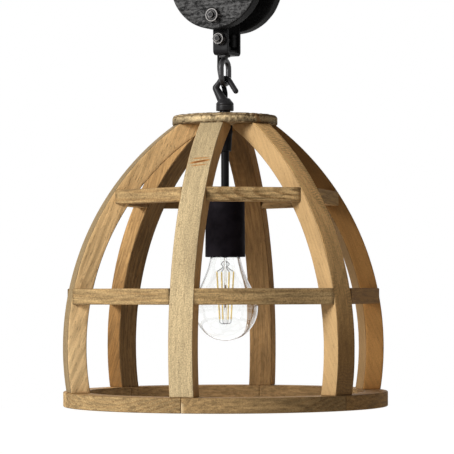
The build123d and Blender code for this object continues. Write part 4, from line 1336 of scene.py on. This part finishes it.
def turned_spacers(metal):
    """Spacers from the hanging eye to the strap on both sides: short tubes turned about the upper bolt."""
    low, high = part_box("pin_spacers")
    radius, bore = (high.z - low.z) / 2, metal.bolt + 0.0002
    eye_low, eye_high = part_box("hanging_eye")
    parts = []
    for start, end in ((low.y, eye_low.y), (eye_high.y, high.y)):
        outline = [(bore, 0.0), (radius, 0.0), (radius, end - start), (bore, end - start)]
        surface = laid_along_y(turned(outline, 0.0004, closed=True, steps=48))
        parts.append(moved(surface, (0.0, start, (low.z + high.z) / 2)))
    add_piece("turned_spacers", join(*parts), "block", "black_steel", ["pin_spacers"])


def bolt_along_y(low, high, radius, flats, head, z):
    """Cross bolt: a rod threaded at its front end, with a hexagon head at the rear."""
    length = high.y - low.y
    pitch = 0.25 * radius + 0.0002
    rod = threaded_rod(radius, length - head / 2, pitch, low=0.0, high=4.5 * radius)
    cap = hexagon_head(flats, head)
    cap = (cap[0] * (1, 1, -1) + (0.0, 0.0, length), cap[1], cap[2])
    return [moved(laid_along_y(part), (0.0, low.y, z)) for part in (rod, cap)]


# Height of a cross bolt's head, and how far a nut's points lie above and below its middle at most
BOLT_HEAD, NUT_REACH = 0.004, 0.008


def cross_bolts(metal):
    """Axle bolt, cheek bolts and strap bolts with their nuts, each where its node's box says."""
    low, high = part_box("axle_bolt")
    nut_low, nut_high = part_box("axle_nut")
    flats = nut_high.z - nut_low.z
    parts = bolt_along_y(low, high, metal.axle, flats, high.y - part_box("rear_cheek")[1].y, AXLE_Z)
    add_piece("axle_bolt_steel", join(*parts), "block", "worn_steel", ["axle_bolt"])
    surface = laid_along_y(nut(flats, metal.axle, nut_high.y - nut_low.y))
    surface = moved(surface, (0.0, nut_low.y, AXLE_Z))
    add_piece("axle_nut_steel", surface, "block", "worn_steel", ["axle_nut"])
    heights = {}
    for node in ("cheek_bolts", "strap_bolts"):
        low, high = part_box(node)
        head_flats = 2 * (np.abs(node_points(node)[:, 0]).max()) * math.cos(math.pi / 6)
        heights[node] = (low.z + head_flats / 2, high.z - head_flats / 2)
        parts = []
        for z in heights[node]:
            parts += bolt_along_y(low, high, metal.bolt, head_flats, BOLT_HEAD, z)
        add_piece(node + "_steel", join(*parts), "block", "worn_steel", [node])
    points = node_points("block_nuts")
    parts = []
    for z in heights["cheek_bolts"] + heights["strap_bolts"]:
        near = points[np.abs(points[:, 2] - z) < NUT_REACH]
        start, end = near[:, 1].min(), near[:, 1].max()
        surface = laid_along_y(nut(near[:, 2].max() - near[:, 2].min(), metal.bolt, end - start))
        parts.append(moved(surface, (0.0, start, z)))
    add_piece("block_nuts_steel", join(*parts), "block", "worn_steel", ["block_nuts"])


def screw(head_radius, radius, length, head):
    """Countersunk screw, head at height 0: a cone, a threaded shank and a point, with a cross in the head.

    The cross lowers a head point by its depth where the lesser of |x| and |y| is under half its slot's width.
    """
    rim, slot_half, slot_edge, slot_depth = 0.0003, 0.00035, 0.0002, 0.0011
    point, pitch, depth, plain = 0.003, 0.0012, 0.0005, 0.001
    outline = [(0.0, 0.0), (head_radius - rim, 0.0), (head_radius, -rim), (radius, -head),
               (radius, point - length), (0.0, -length)]
    thread = (pitch, depth, -length, -head - plain, 0.4 * radius)
    points, quads, edge = turned(outline, [0, 0.0002, 0.0002, 0.0003, 0.0005, 0], steps=64, step=0.0004,
                                 thread=thread)
    on_head = (points[:, 2] > -0.0002) & (np.hypot(points[:, 0], points[:, 1]) < 0.62 * head_radius)
    aside = np.minimum(np.abs(points[:, 0]), np.abs(points[:, 1]))
    slot = 1 - np.clip((aside - slot_half) / slot_edge, 0.0, 1.0)
    points[:, 2] -= slot_depth * slot * on_head
    return points, quads, edge


# Height of a wood screw's head
SCREW_HEAD = 0.0022
# A rib's screws lie further out than the first of these, and less far to its sides than the second
SCREW_OUT, SCREW_ASIDE = 0.01, 0.012


def wood_screws(wood):
    """Screws down through the disc, one to a rib, and up through the ring, two to a rib, heads flush.

    A screw stands in the middle of its points' reach outwards, and a pair either side of the rib's middle.
    """
    for node, up, pair in (("disc_screws", 1.0, False), ("ring_screws", -1.0, True)):
        low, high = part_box(node)
        face = high.z if up > 0 else low.z
        points = node_points(node) - AXIS_FOOT
        parts = []
        for number in RIB_NUMBERS:
            _, _, _, out, side = around_axis(node, wood, number)
            reach, aside, depth = points @ out, np.abs(points @ side), np.abs(points[:, 2] - face)
            near = (reach > SCREW_OUT) & (aside < SCREW_ASIDE)
            shank = near & (depth > SCREW_HEAD)
            middle_out = (reach[near].max() + reach[near].min()) / 2
            step = (aside[near].max() + aside[near].min()) / 2 if pair else 0.0
            one = screw(np.ptp(reach[near]) / 2, np.ptp(reach[shank]) / 2, high.z - low.z, SCREW_HEAD)
            for sign in (-1.0, 1.0) if pair else (0.0,):
                spot = AXIS_FOOT + middle_out * out + sign * step * side + (0.0, 0.0, face)
                parts.append((one[0] * (1, 1, up) + spot, one[1][:, ::int(up)], one[2]))
        add_piece(node + "_steel", join(*parts), "shade", "worn_steel", [node])


# Eye, hook and lead

class PENDANT_OT_eye_and_hook(bpy.types.Operator):
    """Eye bolt with its nuts, and hook"""
    bl_idname = "pendant.eye_and_hook"
    bl_label = "Eye and hook"

    def execute(self, context):
        metal = context.scene.pendant_metal
        eye_bolt(metal)
        forged_hook(metal)
        return {"FINISHED"}


def merged(piece, voxel, rounds):
    """Joins the overlapping shells of a forged piece into one skin and softens it."""
    remesh = piece.modifiers.new("one skin", "REMESH")
    remesh.mode = "VOXEL"
    remesh.voxel_size = voxel
    remesh.use_smooth_shade = True
    soften = piece.modifiers.new("soften", "SMOOTH")
    soften.factor = 0.5
    soften.iterations = rounds


def eye_bolt(metal):
    """The eye bolt: a bar round a long loop of two half circles, and a threaded shank through the strap."""
    low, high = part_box("eye_bolt")
    wire = metal.eye_wire
    y, half = (low.y + high.y) / 2, (high.y - low.y) / 2 - wire
    bottom = low.z + wire + half
    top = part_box("eye_nuts")[0].z - wire - half
    turn_up = np.linspace(0.0, math.pi, 25)
    arc = np.stack([0 * turn_up, half * np.cos(turn_up), half * np.sin(turn_up)], axis=1)
    loop = np.concatenate([arc + (0.0, y, top), arc * (1, -1, -1) + (0.0, y, bottom)])
    loop, _ = resampled(np.concatenate([loop, loop[:1]]), 0.0012)
    ring = tube(loop[:-1], wire, (1.0, 0.0, 0.0), closed=True, steps=28)
    overlap, clear = 0.001, 0.0005
    foot = top + half - overlap
    shank = threaded_rod(metal.bolt, high.z - foot, pitch=0.001, low=0.0, high=0.011)
    shank = (shank[0] * (1, 1, -1) + (0.0, y, high.z), shank[1][:, ::-1], shank[2])
    add_piece("forged_eye_bolt", join(ring, shank), "block", "black_steel", ["eye_bolt"], look="rubbed_steel")
    points = node_points("eye_nuts")
    above = points[:, 2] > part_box("strap")[0].z + clear
    parts = []
    for near in (points[~above], points[above]):
        start, end = near[:, 2].min(), near[:, 2].max()
        one = nut(near[:, 1].max() - near[:, 1].min(), metal.bolt, end - start)
        parts.append(moved(one, (0.0, y, start)))
    return add_piece("eye_nuts_steel", join(*parts), "block", "black_steel", ["eye_nuts"],
                     look="forged_steel")


# What the softening takes from the hook's bar
HOOK_SHRINK = 0.00012


def forged_hook(metal):
    """The hook: a bar that thins from its foot to a corner, then a bow to a blunt tip, on a rimmed cone.

    The bar's spots are sideways and up from the middle of the eye's lower bar.
    """
    low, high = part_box("hook")
    wire = metal.hook_wire + HOOK_SHRINK
    x, y = SHADE_AXIS[0], SHADE_AXIS[1]
    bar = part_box("eye_bolt")[0].z + metal.eye_wire
    bow_up = high.z - metal.hook_wire - bar
    spots = np.array([(-0.0015, -0.0165), (-0.0095, -0.00325), (-0.0031, bow_up), (0.0031, bow_up),
                      (0.0113, -0.0071)])
    path, _ = rounded(spots, [0, 0.0012, 0.0036, 0.0036, 0], steps=9)
    path, _ = resampled(path, 0.0008)
    run = lengths_along(path)
    radius = by_place(run, {0.0: 0.0051, 0.0135: 0.0034, 0.0160: 0.0031, 0.0200: wire})
    line = np.stack([x + path[:, 0], y + 0 * run, bar + path[:, 1]], axis=1)
    line, radius = round_ended(line, radius)
    bow = tube(line, radius, (0.0, 1.0, 0.0), steps=24)
    rim, rim_high, neck, neck_high, cone_high = 0.0082, 0.0022, 0.0044, 0.0070, 0.0078
    outline = [(0.0, 0.0), (rim, 0.0), (rim, rim_high), (neck, neck_high), (0.0, cone_high)]
    base = moved(turned(outline, [0, 0.0004, 0.0008, 0.001, 0], steps=60), (x, y, low.z))
    piece = add_piece("forged_hook", join(bow, base), "shade", "black_steel", ["hook"], look="forged_steel")
    merged(piece, 0.00035, 2)
    return piece


class PENDANT_OT_supply(bpy.types.Operator):
    """Supply lead beside the hook and its terminal"""
    bl_idname = "pendant.supply"
    bl_label = "Lead and terminal"

    def execute(self, context):
        outer_lead(context.scene.pendant_lamp)
        terminal()
        return {"FINISHED"}


# Control points of the lead's curve, from the hook's base up to the terminal
LEAD_ROUTE = ((-0.001728, -0.000108, -0.187944), (-0.0024, 0.0016, -0.1845), (-0.0096, 0.0040, -0.1665),
              (-0.0105, 0.0062, -0.1543), (-0.0105, 0.0062, -0.1357))


def spline_points(route):
    """Points along one NURBS curve whose control points are the route."""
    curve = bpy.data.curves.new("lead_route", "CURVE")
    curve.dimensions = "3D"
    spline = curve.splines.new("NURBS")
    spline.points.add(len(route) - 1)
    for point, place in zip(spline.points, route):
        point.co = (*place, 1.0)
    spline.order_u = 3
    spline.use_endpoint_u = True
    spline.resolution_u = 16
    holder = bpy.data.objects.new("lead_route", curve)
    bpy.context.scene.collection.objects.link(holder)
    line = bpy.data.meshes.new_from_object(holder.evaluated_get(bpy.context.evaluated_depsgraph_get()))
    flat = np.empty(3 * len(line.vertices))
    line.vertices.foreach_get("co", flat)
    bpy.data.objects.remove(holder)
    bpy.data.curves.remove(curve)
    bpy.data.meshes.remove(line)
    return flat.reshape(-1, 3)


def outer_lead(lamp):
    """The lead from the hook's base up to the terminal: a round bar along the route's curve."""
    path = spline_points(LEAD_ROUTE)
    line, radius = round_ended(path, lamp.lead, 3)
    piece = add_piece("supply_lead", tube(line, radius, (0.0, 1.0, 0.0), steps=24), None, "black_plastic",
                      ["lead_outer"])
    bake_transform(piece)
    return piece


def terminal():
    """The terminal: a rounded box with a parting groove.

    Points are drawn in by the groove's depth times exp(-(distance from the groove / its half width)^2).
    """
    low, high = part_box("lead_terminal")
    sides = np.array(high - low)
    points, quads, normals, edge = plank(sides, 0.0019, 0.0009)
    groove_up, groove_half, groove_depth = 0.18 * sides[2], 0.0005, 0.0005
    groove = np.exp(-((points[:, 2] - groove_up) / groove_half) ** 2) * (np.abs(normals[:, 2]) < 0.5)
    points = points - normals * (groove_depth * groove)[:, None] * (1, 1, 0)
    placed = points + np.array(low + high) / 2
    return add_piece("moulded_terminal", (placed, quads, edge), "block", "black_plastic", ["lead_terminal"])


# Lamp holder and bulb

class PENDANT_OT_fittings(bpy.types.Operator):
    """Collar, gland, stem and lamp holder"""
    bl_idname = "pendant.fittings"
    bl_label = "Lamp fittings"

    def execute(self, context):
        fittings()
        return {"FINISHED"}


def on_axis(surface, z=0.0):
    """A surface about Z set on the shade's axis at a height."""
    return moved(surface, (SHADE_AXIS[0], SHADE_AXIS[1], z))


def turned_size(node):
    """A turned node's radius, lower end and height."""
    low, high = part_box(node)
    return (high.x - low.x) / 2, low.z, high.z - low.z


def turned_tube(node, bore, soft):
    """A plain tube of a node's radius and height with rounded edges, on the axis."""
    radius, low, tall = turned_size(node)
    outline = [(bore, 0.0), (radius, 0.0), (radius, tall), (bore, tall)]
    return on_axis(turned(outline, soft, closed=True), low)


def fittings():
    """Turned fittings down the axis, each from its node's radius, lower end and height."""
    collar = turned_tube("hook_collar", 0.0042, 0.0005)
    add_piece("turned_collar", collar, "shade", "black_steel", ["hook_collar"], look="forged_steel")
    radius, low, tall = turned_size("gland")
    bore, foot, lip, lip_high, shoulder = 0.0034, 0.0056, 0.0058, 0.0004, 0.0066
    outline = [(bore, 0.0), (foot, 0.0), (lip, lip_high), (shoulder, 0.62 * tall), (radius, 0.66 * tall),
               (radius, tall), (bore, tall)]
    gland = on_axis(turned(outline, 0.0006, closed=True), low)
    add_piece("turned_gland", gland, "shade", "black_steel", ["gland"])
    add_piece("drawn_stem", turned_tube("stem", 0.0030, 0.0003), "shade", "black_steel", ["stem"])
    radius, low, tall = turned_size("holder_cup")
    wall, taper, bore = 0.0013, 0.0006, 0.0037
    outline = [(radius, 0.0), (radius - taper, tall), (bore, tall), (bore, tall - wall),
               (radius - taper - wall, tall - wall), (radius - wall, 0.0)]
    rims = [0.0006, 0.0100, 0.0003, 0.0003, 0.0090, 0.0006]
    cup = on_axis(turned(outline, rims, closed=True, steps=96, step=0.002), low)
    add_piece("spun_holder_cup", cup, "shade", "black_steel", ["holder_cup"], look="coated_steel")


class PENDANT_OT_bulb(bpy.types.Operator):
    """Glass bulb with its cap, mount, wires and filaments"""
    bl_idname = "pendant.bulb"
    bl_label = "Bulb"

    def execute(self, context):
        blown_glass(context.scene.pendant_lamp)
        screw_cap()
        bulb_mount()
        filaments(context.scene.pendant_lamp)
        support_wires(context.scene.pendant_lamp)
        return {"FINISHED"}


# Radius of the bulb's neck in its cap, and spots of its flank as radius and distance below the cap
NECK = 0.012
FLANK = ((0.0209, 0.0249), (0.0164, 0.0140), (0.0142, 0.0046), (NECK, -0.0010))
# Angle above the ball's middle at which the flank begins
BALL_END = 0.42
# Points along the glass's outline, and how many of them one smoothing takes in
GLASS_POINTS, GLASS_SMOOTH = 150, 9


def blown_glass(lamp):
    """The glass: a ball that a flank through four spots draws out to the neck, turned about the axis.

    The outline is made smooth by a moving mean, and comes back drawn in by the wall's thickness.
    """
    low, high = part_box("bulb_glass")
    ball = np.linspace(-math.pi / 2, BALL_END, 40)
    outer = np.stack([lamp.glass * np.cos(ball), lamp.glass + lamp.glass * np.sin(ball)], axis=1)
    flank = np.array(FLANK)
    flank[:, 1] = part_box("bulb_cap")[0].z - low.z - flank[:, 1]
    corners = np.concatenate([outer, flank, [(NECK, high.z - low.z)]])
    run = lengths_along(corners)
    even = np.linspace(0.0, run[-1], GLASS_POINTS)
    kernel = np.ones(GLASS_SMOOTH) / GLASS_SMOOTH
    columns = [np.pad(np.interp(even, run, column), GLASS_SMOOTH // 2, mode="reflect", reflect_type="odd")
               for column in corners.T]
    smooth = np.stack([np.convolve(column, kernel, "valid") for column in columns], axis=1)
    smooth[0] = (0.0, 0.0)
    slope = np.gradient(smooth, axis=0)
    slope /= np.linalg.norm(slope, axis=1, keepdims=True)
    inner = smooth + lamp.glass_wall * np.stack([-slope[:, 1], slope[:, 0]], axis=1)
    inner[0, 0] = 0.0
    inner[:, 0] = np.maximum(inner[:, 0], 0.0)
    both = np.concatenate([smooth, inner[::-1]])
    surface = on_axis(turned(both, 0.0, steps=96), low.z)
    return add_piece("blown_bulb_glass", surface, "bulb", "clear_glass", ["bulb_glass"], smooth=60.0)


def screw_cap():
    """The cap: a thin shell with a screw thread, its radius less a wave of height / pitch - angle / turn."""
    radius, low, tall = turned_size("bulb_cap")
    wall, shoulder, end_hole = 0.0006, 0.004, 0.004
    pitch, depth, plain_end = 0.0036, 0.0011, 0.003
    inner = radius - 0.0015 - wall
    outline = [(radius, 0.0), (radius, tall - shoulder), (radius - shoulder, tall), (end_hole, tall),
               (end_hole, tall - wall), (radius - shoulder - wall, tall - wall),
               (inner, tall - shoulder - 0.0005), (inner, 0.0)]
    thread = (pitch, depth, plain_end, tall - plain_end, radius - 0.0012)
    cap = turned(outline, 0.0008, closed=True, thread=thread, steps=96, step=0.0005)
    return add_piece("rolled_bulb_cap", on_axis(cap, low), "bulb", "cap_metal", ["bulb_cap"])


def bulb_mount():
    """The mount: a flared foot drawn out to a thin rod with a rounded end, turned about the axis."""
    radius, low, tall = turned_size("bulb_mount")
    rod = 0.0016
    outline = [(0.0, 0.0), (rod, 0.0006), (rod, 0.72 * tall), (0.0022, 0.80 * tall), (0.0034, 0.87 * tall),
               (radius * 0.72, 0.97 * tall), (radius, tall), (0.0, tall)]
    surface = turned(outline, [0, 0.0007, 0.004, 0.003, 0.003, 0.003, 0.0004, 0], steps=48)
    return add_piece("drawn_bulb_mount", on_axis(surface, low), "bulb", "clear_glass", ["bulb_mount"])


def filament_ends():
    """Upper and lower end of each of four filaments, as the means of its end points, round the axis."""
    low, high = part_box("filaments")
    local = node_points("filaments") - AXIS_FOOT
    end = 0.002
    bottom, top = local[local[:, 2] < low.z + end], local[local[:, 2] > high.z - end]
    ends = []
    for quarter in range(4):
        angle = np.arctan2(bottom[0, 1], bottom[0, 0]) + quarter * math.pi / 2
        way = np.array([math.cos(angle), math.sin(angle)])
        pair = []
        for part in (top, bottom):
            near = part[:, :2] @ way > 0.8 * np.hypot(part[:, 0], part[:, 1])
            pair.append(part[near].mean(axis=0))
        ends.append(pair)
    return ends


def filaments(lamp):
    """Four filaments: straight bars with round ends that lean inward on the way down."""
    parts = []
    for ends in filament_ends():
        line, _ = resampled(np.array(ends), 0.003)
        line, radius = round_ended(line, lamp.filament, 4)
        parts.append(tube(line, radius, (1.0, 0.0, 0.0), steps=16))
    return add_piece("coated_filaments", on_axis(join(*parts)), "bulb", "filament", ["filaments"])


# Spots of the bent wire above a filament and of the pin below it: share of its distance out, and height
WIRE_SPOTS = ((0.2, 0.0105), (0.5, 0.0080), (0.22, 0.0052), (0.56, 0.0030), (1.0, 0.0008), (1.0, 0.0))
PIN_SPOTS = ((1.0, 0.0), (0.98, -0.0034), (0.6, -0.0046), (0.0, -0.0042))


def support_wires(lamp):
    """Bent wires from the mount's foot to the filaments' tops, pins below them, and a glass rod on the axis.

    A wire's spots lie on the ray of its filament, at shares of its end's distance out and above or below it.
    """
    low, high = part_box("filament_wires")
    slanting = (0.31, 0.43, 0.85)
    parts = []
    for top, bottom in filament_ends():
        for end, spots in ((top, WIRE_SPOTS), (bottom, PIN_SPOTS)):
            corners = np.array([(share * end[0], share * end[1], end[2] + up) for share, up in spots])
            line, _ = rounded(corners, 0.0005, steps=4)
            line, radius = round_ended(line, lamp.wire, 3)
            parts.append(tube(line, radius, slanting, steps=10))
    add_piece("bent_support_wires", on_axis(join(*parts)), "bulb", "wire", ["filament_wires"])
    line, radius = round_ended([(0.0, 0.0, low.z + lamp.rod), (0.0, 0.0, high.z)], lamp.rod)
    rod = tube(line, radius, (1.0, 0.0, 0.0), steps=20)
    return add_piece("glass_rod", on_axis(rod), "bulb", "clear_glass")


# Studio

class PENDANT_OT_stage(bpy.types.Operator):
    """Camera, floor, lamps and world"""
    bl_idname = "pendant.stage"
    bl_label = "Studio"

    def execute(self, context):
        stage = context.scene.pendant_stage
        place_camera(stage)
        studio_floor(stage)
        studio_light(stage)
        context.scene.view_settings.view_transform = "Standard"
        return {"FINISHED"}


def toward(stage, degrees):
    """Unit vector from the shade's axis, turned from the camera's side, to the right if positive."""
    angle = stage.azimuth + math.radians(degrees)
    return Vector((math.sin(angle), -math.cos(angle), 0.0))


def place_camera(stage):
    """A camera on the stage's side at eye level, aimed a little beside and above the axis."""
    camera = bpy.data.objects.new("camera", bpy.data.cameras.new("camera"))
    camera.data.lens = stage.lens
    camera.data.sensor_width = 36.0
    camera.data.clip_end = 100.0
    out = toward(stage, 0.0)
    camera.location = out * stage.distance + Vector((SHADE_AXIS[0], SHADE_AXIS[1], stage.eye_level))
    aim = -out + stage.right * toward(stage, 90.0) + Vector((0.0, 0.0, stage.up))
    turned_view = aim.to_track_quat("-Z", "Y") @ Quaternion((0.0, 0.0, 1.0), stage.roll)
    camera.rotation_euler = turned_view.to_euler()
    bpy.context.scene.collection.objects.link(camera)
    bpy.context.scene.camera = camera


WHITE = (1.0, 1.0, 1.0, 1.0)
FLOOR_PAINT = (0.86, 0.86, 0.86, 1.0)
# Radius of the floor, and its rings and points to a ring
FLOOR_RADIUS, FLOOR_RINGS, FLOOR_STEPS = 9.0, 19, 64


def seen_rays(tree):
    """1 for rays from the camera, from gloss and through glass."""
    path = add_node(tree, "LightPath").outputs
    bent = work(tree, "MAXIMUM", path["Is Glossy Ray"], path["Is Transmission Ray"])
    return work(tree, "MAXIMUM", path["Is Camera Ray"], bent)


def floor_finish():
    """Pale matt floor that looks white, keeps the shadow, and is clear from below."""
    material = bpy.data.materials.new("pale_floor")
    material.use_nodes = True
    tree = material.node_tree
    tree.nodes.remove(tree.nodes["Principled BSDF"])
    paint = add_node(tree, "BsdfDiffuse", {"Color": FLOOR_PAINT})
    place = add_node(tree, "TexCoord").outputs["Object"]
    away = add_node(tree, "VectorMath", {0: place}, operation="LENGTH").outputs["Value"]
    bright = spread(tree, away, 1.2, 4.0, 0.78, 0.93)
    glow = add_node(tree, "Emission", {"Color": WHITE, "Strength": bright})
    lit = add_node(tree, "AddShader", {0: paint.outputs[0], 1: glow.outputs[0]})
    shown = add_node(tree, "MixShader", {0: seen_rays(tree), 1: paint.outputs[0], 2: lit.outputs[0]})
    below = add_node(tree, "NewGeometry").outputs["Backfacing"]
    clear = add_node(tree, "BsdfTransparent")
    either = add_node(tree, "MixShader", {0: below, 1: shown.outputs[0], 2: clear.outputs[0]})
    tree.links.new(either.outputs[0], tree.nodes["Material Output"].inputs["Surface"])
    return material


def studio_floor(stage):
    """The floor: rings of points, each at radius r and angle a, with r growing evenly to the rim."""
    radius = np.linspace(0.0, FLOOR_RADIUS, FLOOR_RINGS)[:, None]
    angle = np.linspace(0.0, 2 * math.pi, FLOOR_STEPS, endpoint=False)[None, :]
    level = 0 * radius * angle + RING_LOW - stage.floor_drop
    points = np.stack([radius * np.cos(angle), radius * np.sin(angle), level], axis=-1).reshape(-1, 3)
    quads = grid_faces(FLOOR_RINGS, FLOOR_STEPS, wrap_columns=True)[:, ::-1]
    mesh = bpy.data.meshes.new("floor")
    mesh.from_pydata(points.tolist(), [], quads.tolist())
    mesh.materials.append(floor_finish())
    floor = bpy.data.objects.new("floor", mesh)
    bpy.context.scene.collection.objects.link(floor)


def area_lamp(name, target, spot, wide, watts):
    """Round lamp at a spot given from the target, facing it."""
    lamp = bpy.data.lights.new(name, "AREA")
    lamp.shape = "DISK"
    lamp.size = wide
    lamp.energy = watts
    holder = bpy.data.objects.new(name, lamp)
    holder.location = target + spot
    holder.rotation_euler = (target - holder.location).to_track_quat("-Z", "Y").to_euler()
    bpy.context.scene.collection.objects.link(holder)


# Turn from the camera's side in degrees, distance, height above the target and width of each lamp
LAMPS = {"key": (-55.0, 2.2, 0.9, 0.9), "fill": (40.0, 2.6, 0.4, 1.4), "top": (60.0, 0.8, 2.3, 1.2),
         "back": (180.0, 2.6, 0.9, 1.2)}
# Height that the lamps face
LAMP_TARGET = -0.33
WARM_AMBIENT = (1.0, 0.83, 0.68, 1.0)


def studio_light(stage):
    """A large lamp at the left, weaker ones at the right, above and behind, and a dim world seen as white."""
    target = Vector((SHADE_AXIS[0], SHADE_AXIS[1], LAMP_TARGET))
    for name, (degrees, distance, up, wide) in LAMPS.items():
        spot = toward(stage, degrees) * distance + Vector((0, 0, up))
        area_lamp(name, target, spot, wide, getattr(stage, name))
    world = bpy.data.worlds.new("studio")
    world.use_nodes = True
    bpy.context.scene.world = world
    tree = world.node_tree
    dim = tree.nodes["Background"]
    set_inputs(tree, dim, {"Color": WARM_AMBIENT, "Strength": stage.ambient})
    white = add_node(tree, "Background", {"Color": WHITE, "Strength": 1.0})
    mixed = add_node(tree, "MixShader", {0: seen_rays(tree), 1: dim.outputs[0], 2: white.outputs[0]})
    tree.links.new(mixed.outputs[0], tree.nodes["World Output"].inputs["Surface"])


class PENDANT_OT_plain_nodes(bpy.types.Operator):
    """Finishes for the CAD nodes that stay in sight"""
    bl_idname = "pendant.plain_nodes"
    bl_label = "Other parts"

    def execute(self, context):
        for node in frame["nodes"].values():
            if not node.hide_render:
                for slot in node.material_slots:
                    slot.material = finish_for(slot.name.split(".")[0])
        return {"FINISHED"}


class PENDANT_PT_pieces(bpy.types.Panel):
    """Pieces and settings of the pendant light"""
    bl_idname = "PENDANT_PT_pieces"
    bl_label = "Pendant light"
    bl_space_type = "VIEW_3D"
    bl_region_type = "UI"
    bl_category = "Pendant"

    def draw(self, context):
        for operator in OPERATORS:
            self.layout.operator(operator.bl_idname)
        for name, group in SETTINGS.items():
            box = self.layout.box()
            for key in group.__annotations__:
                box.prop(getattr(context.scene, name), key)


OPERATORS = (PENDANT_OT_stage, PENDANT_OT_supply, PENDANT_OT_ribs, PENDANT_OT_slats, PENDANT_OT_ring,
             PENDANT_OT_disc, PENDANT_OT_block, PENDANT_OT_sheave, PENDANT_OT_fasteners,
             PENDANT_OT_eye_and_hook, PENDANT_OT_fittings, PENDANT_OT_bulb, PENDANT_OT_plain_nodes)
CLASSES = (*SETTINGS.values(), *OPERATORS, PENDANT_PT_pieces)


def register():
    for one in CLASSES:
        bpy.utils.register_class(one)
    for name, group in SETTINGS.items():
        setattr(bpy.types.Scene, name, bpy.props.PointerProperty(type=group))


def unregister():
    for name in SETTINGS:
        delattr(bpy.types.Scene, name)
    for one in reversed(CLASSES):
        bpy.utils.unregister_class(one)


def main():
    register()
    bpy.ops.pendant.stage()
    bpy.ops.pendant.supply()
    bpy.ops.pendant.ribs()
    bpy.ops.pendant.slats()
    bpy.ops.pendant.ring()
    bpy.ops.pendant.disc()
    bpy.ops.pendant.block()
    bpy.ops.pendant.sheave()
    bpy.ops.pendant.fasteners()
    bpy.ops.pendant.eye_and_hook()
    bpy.ops.pendant.fittings()
    bpy.ops.pendant.bulb()
    bpy.ops.pendant.plain_nodes()


if __name__ == "__main__":
    main()
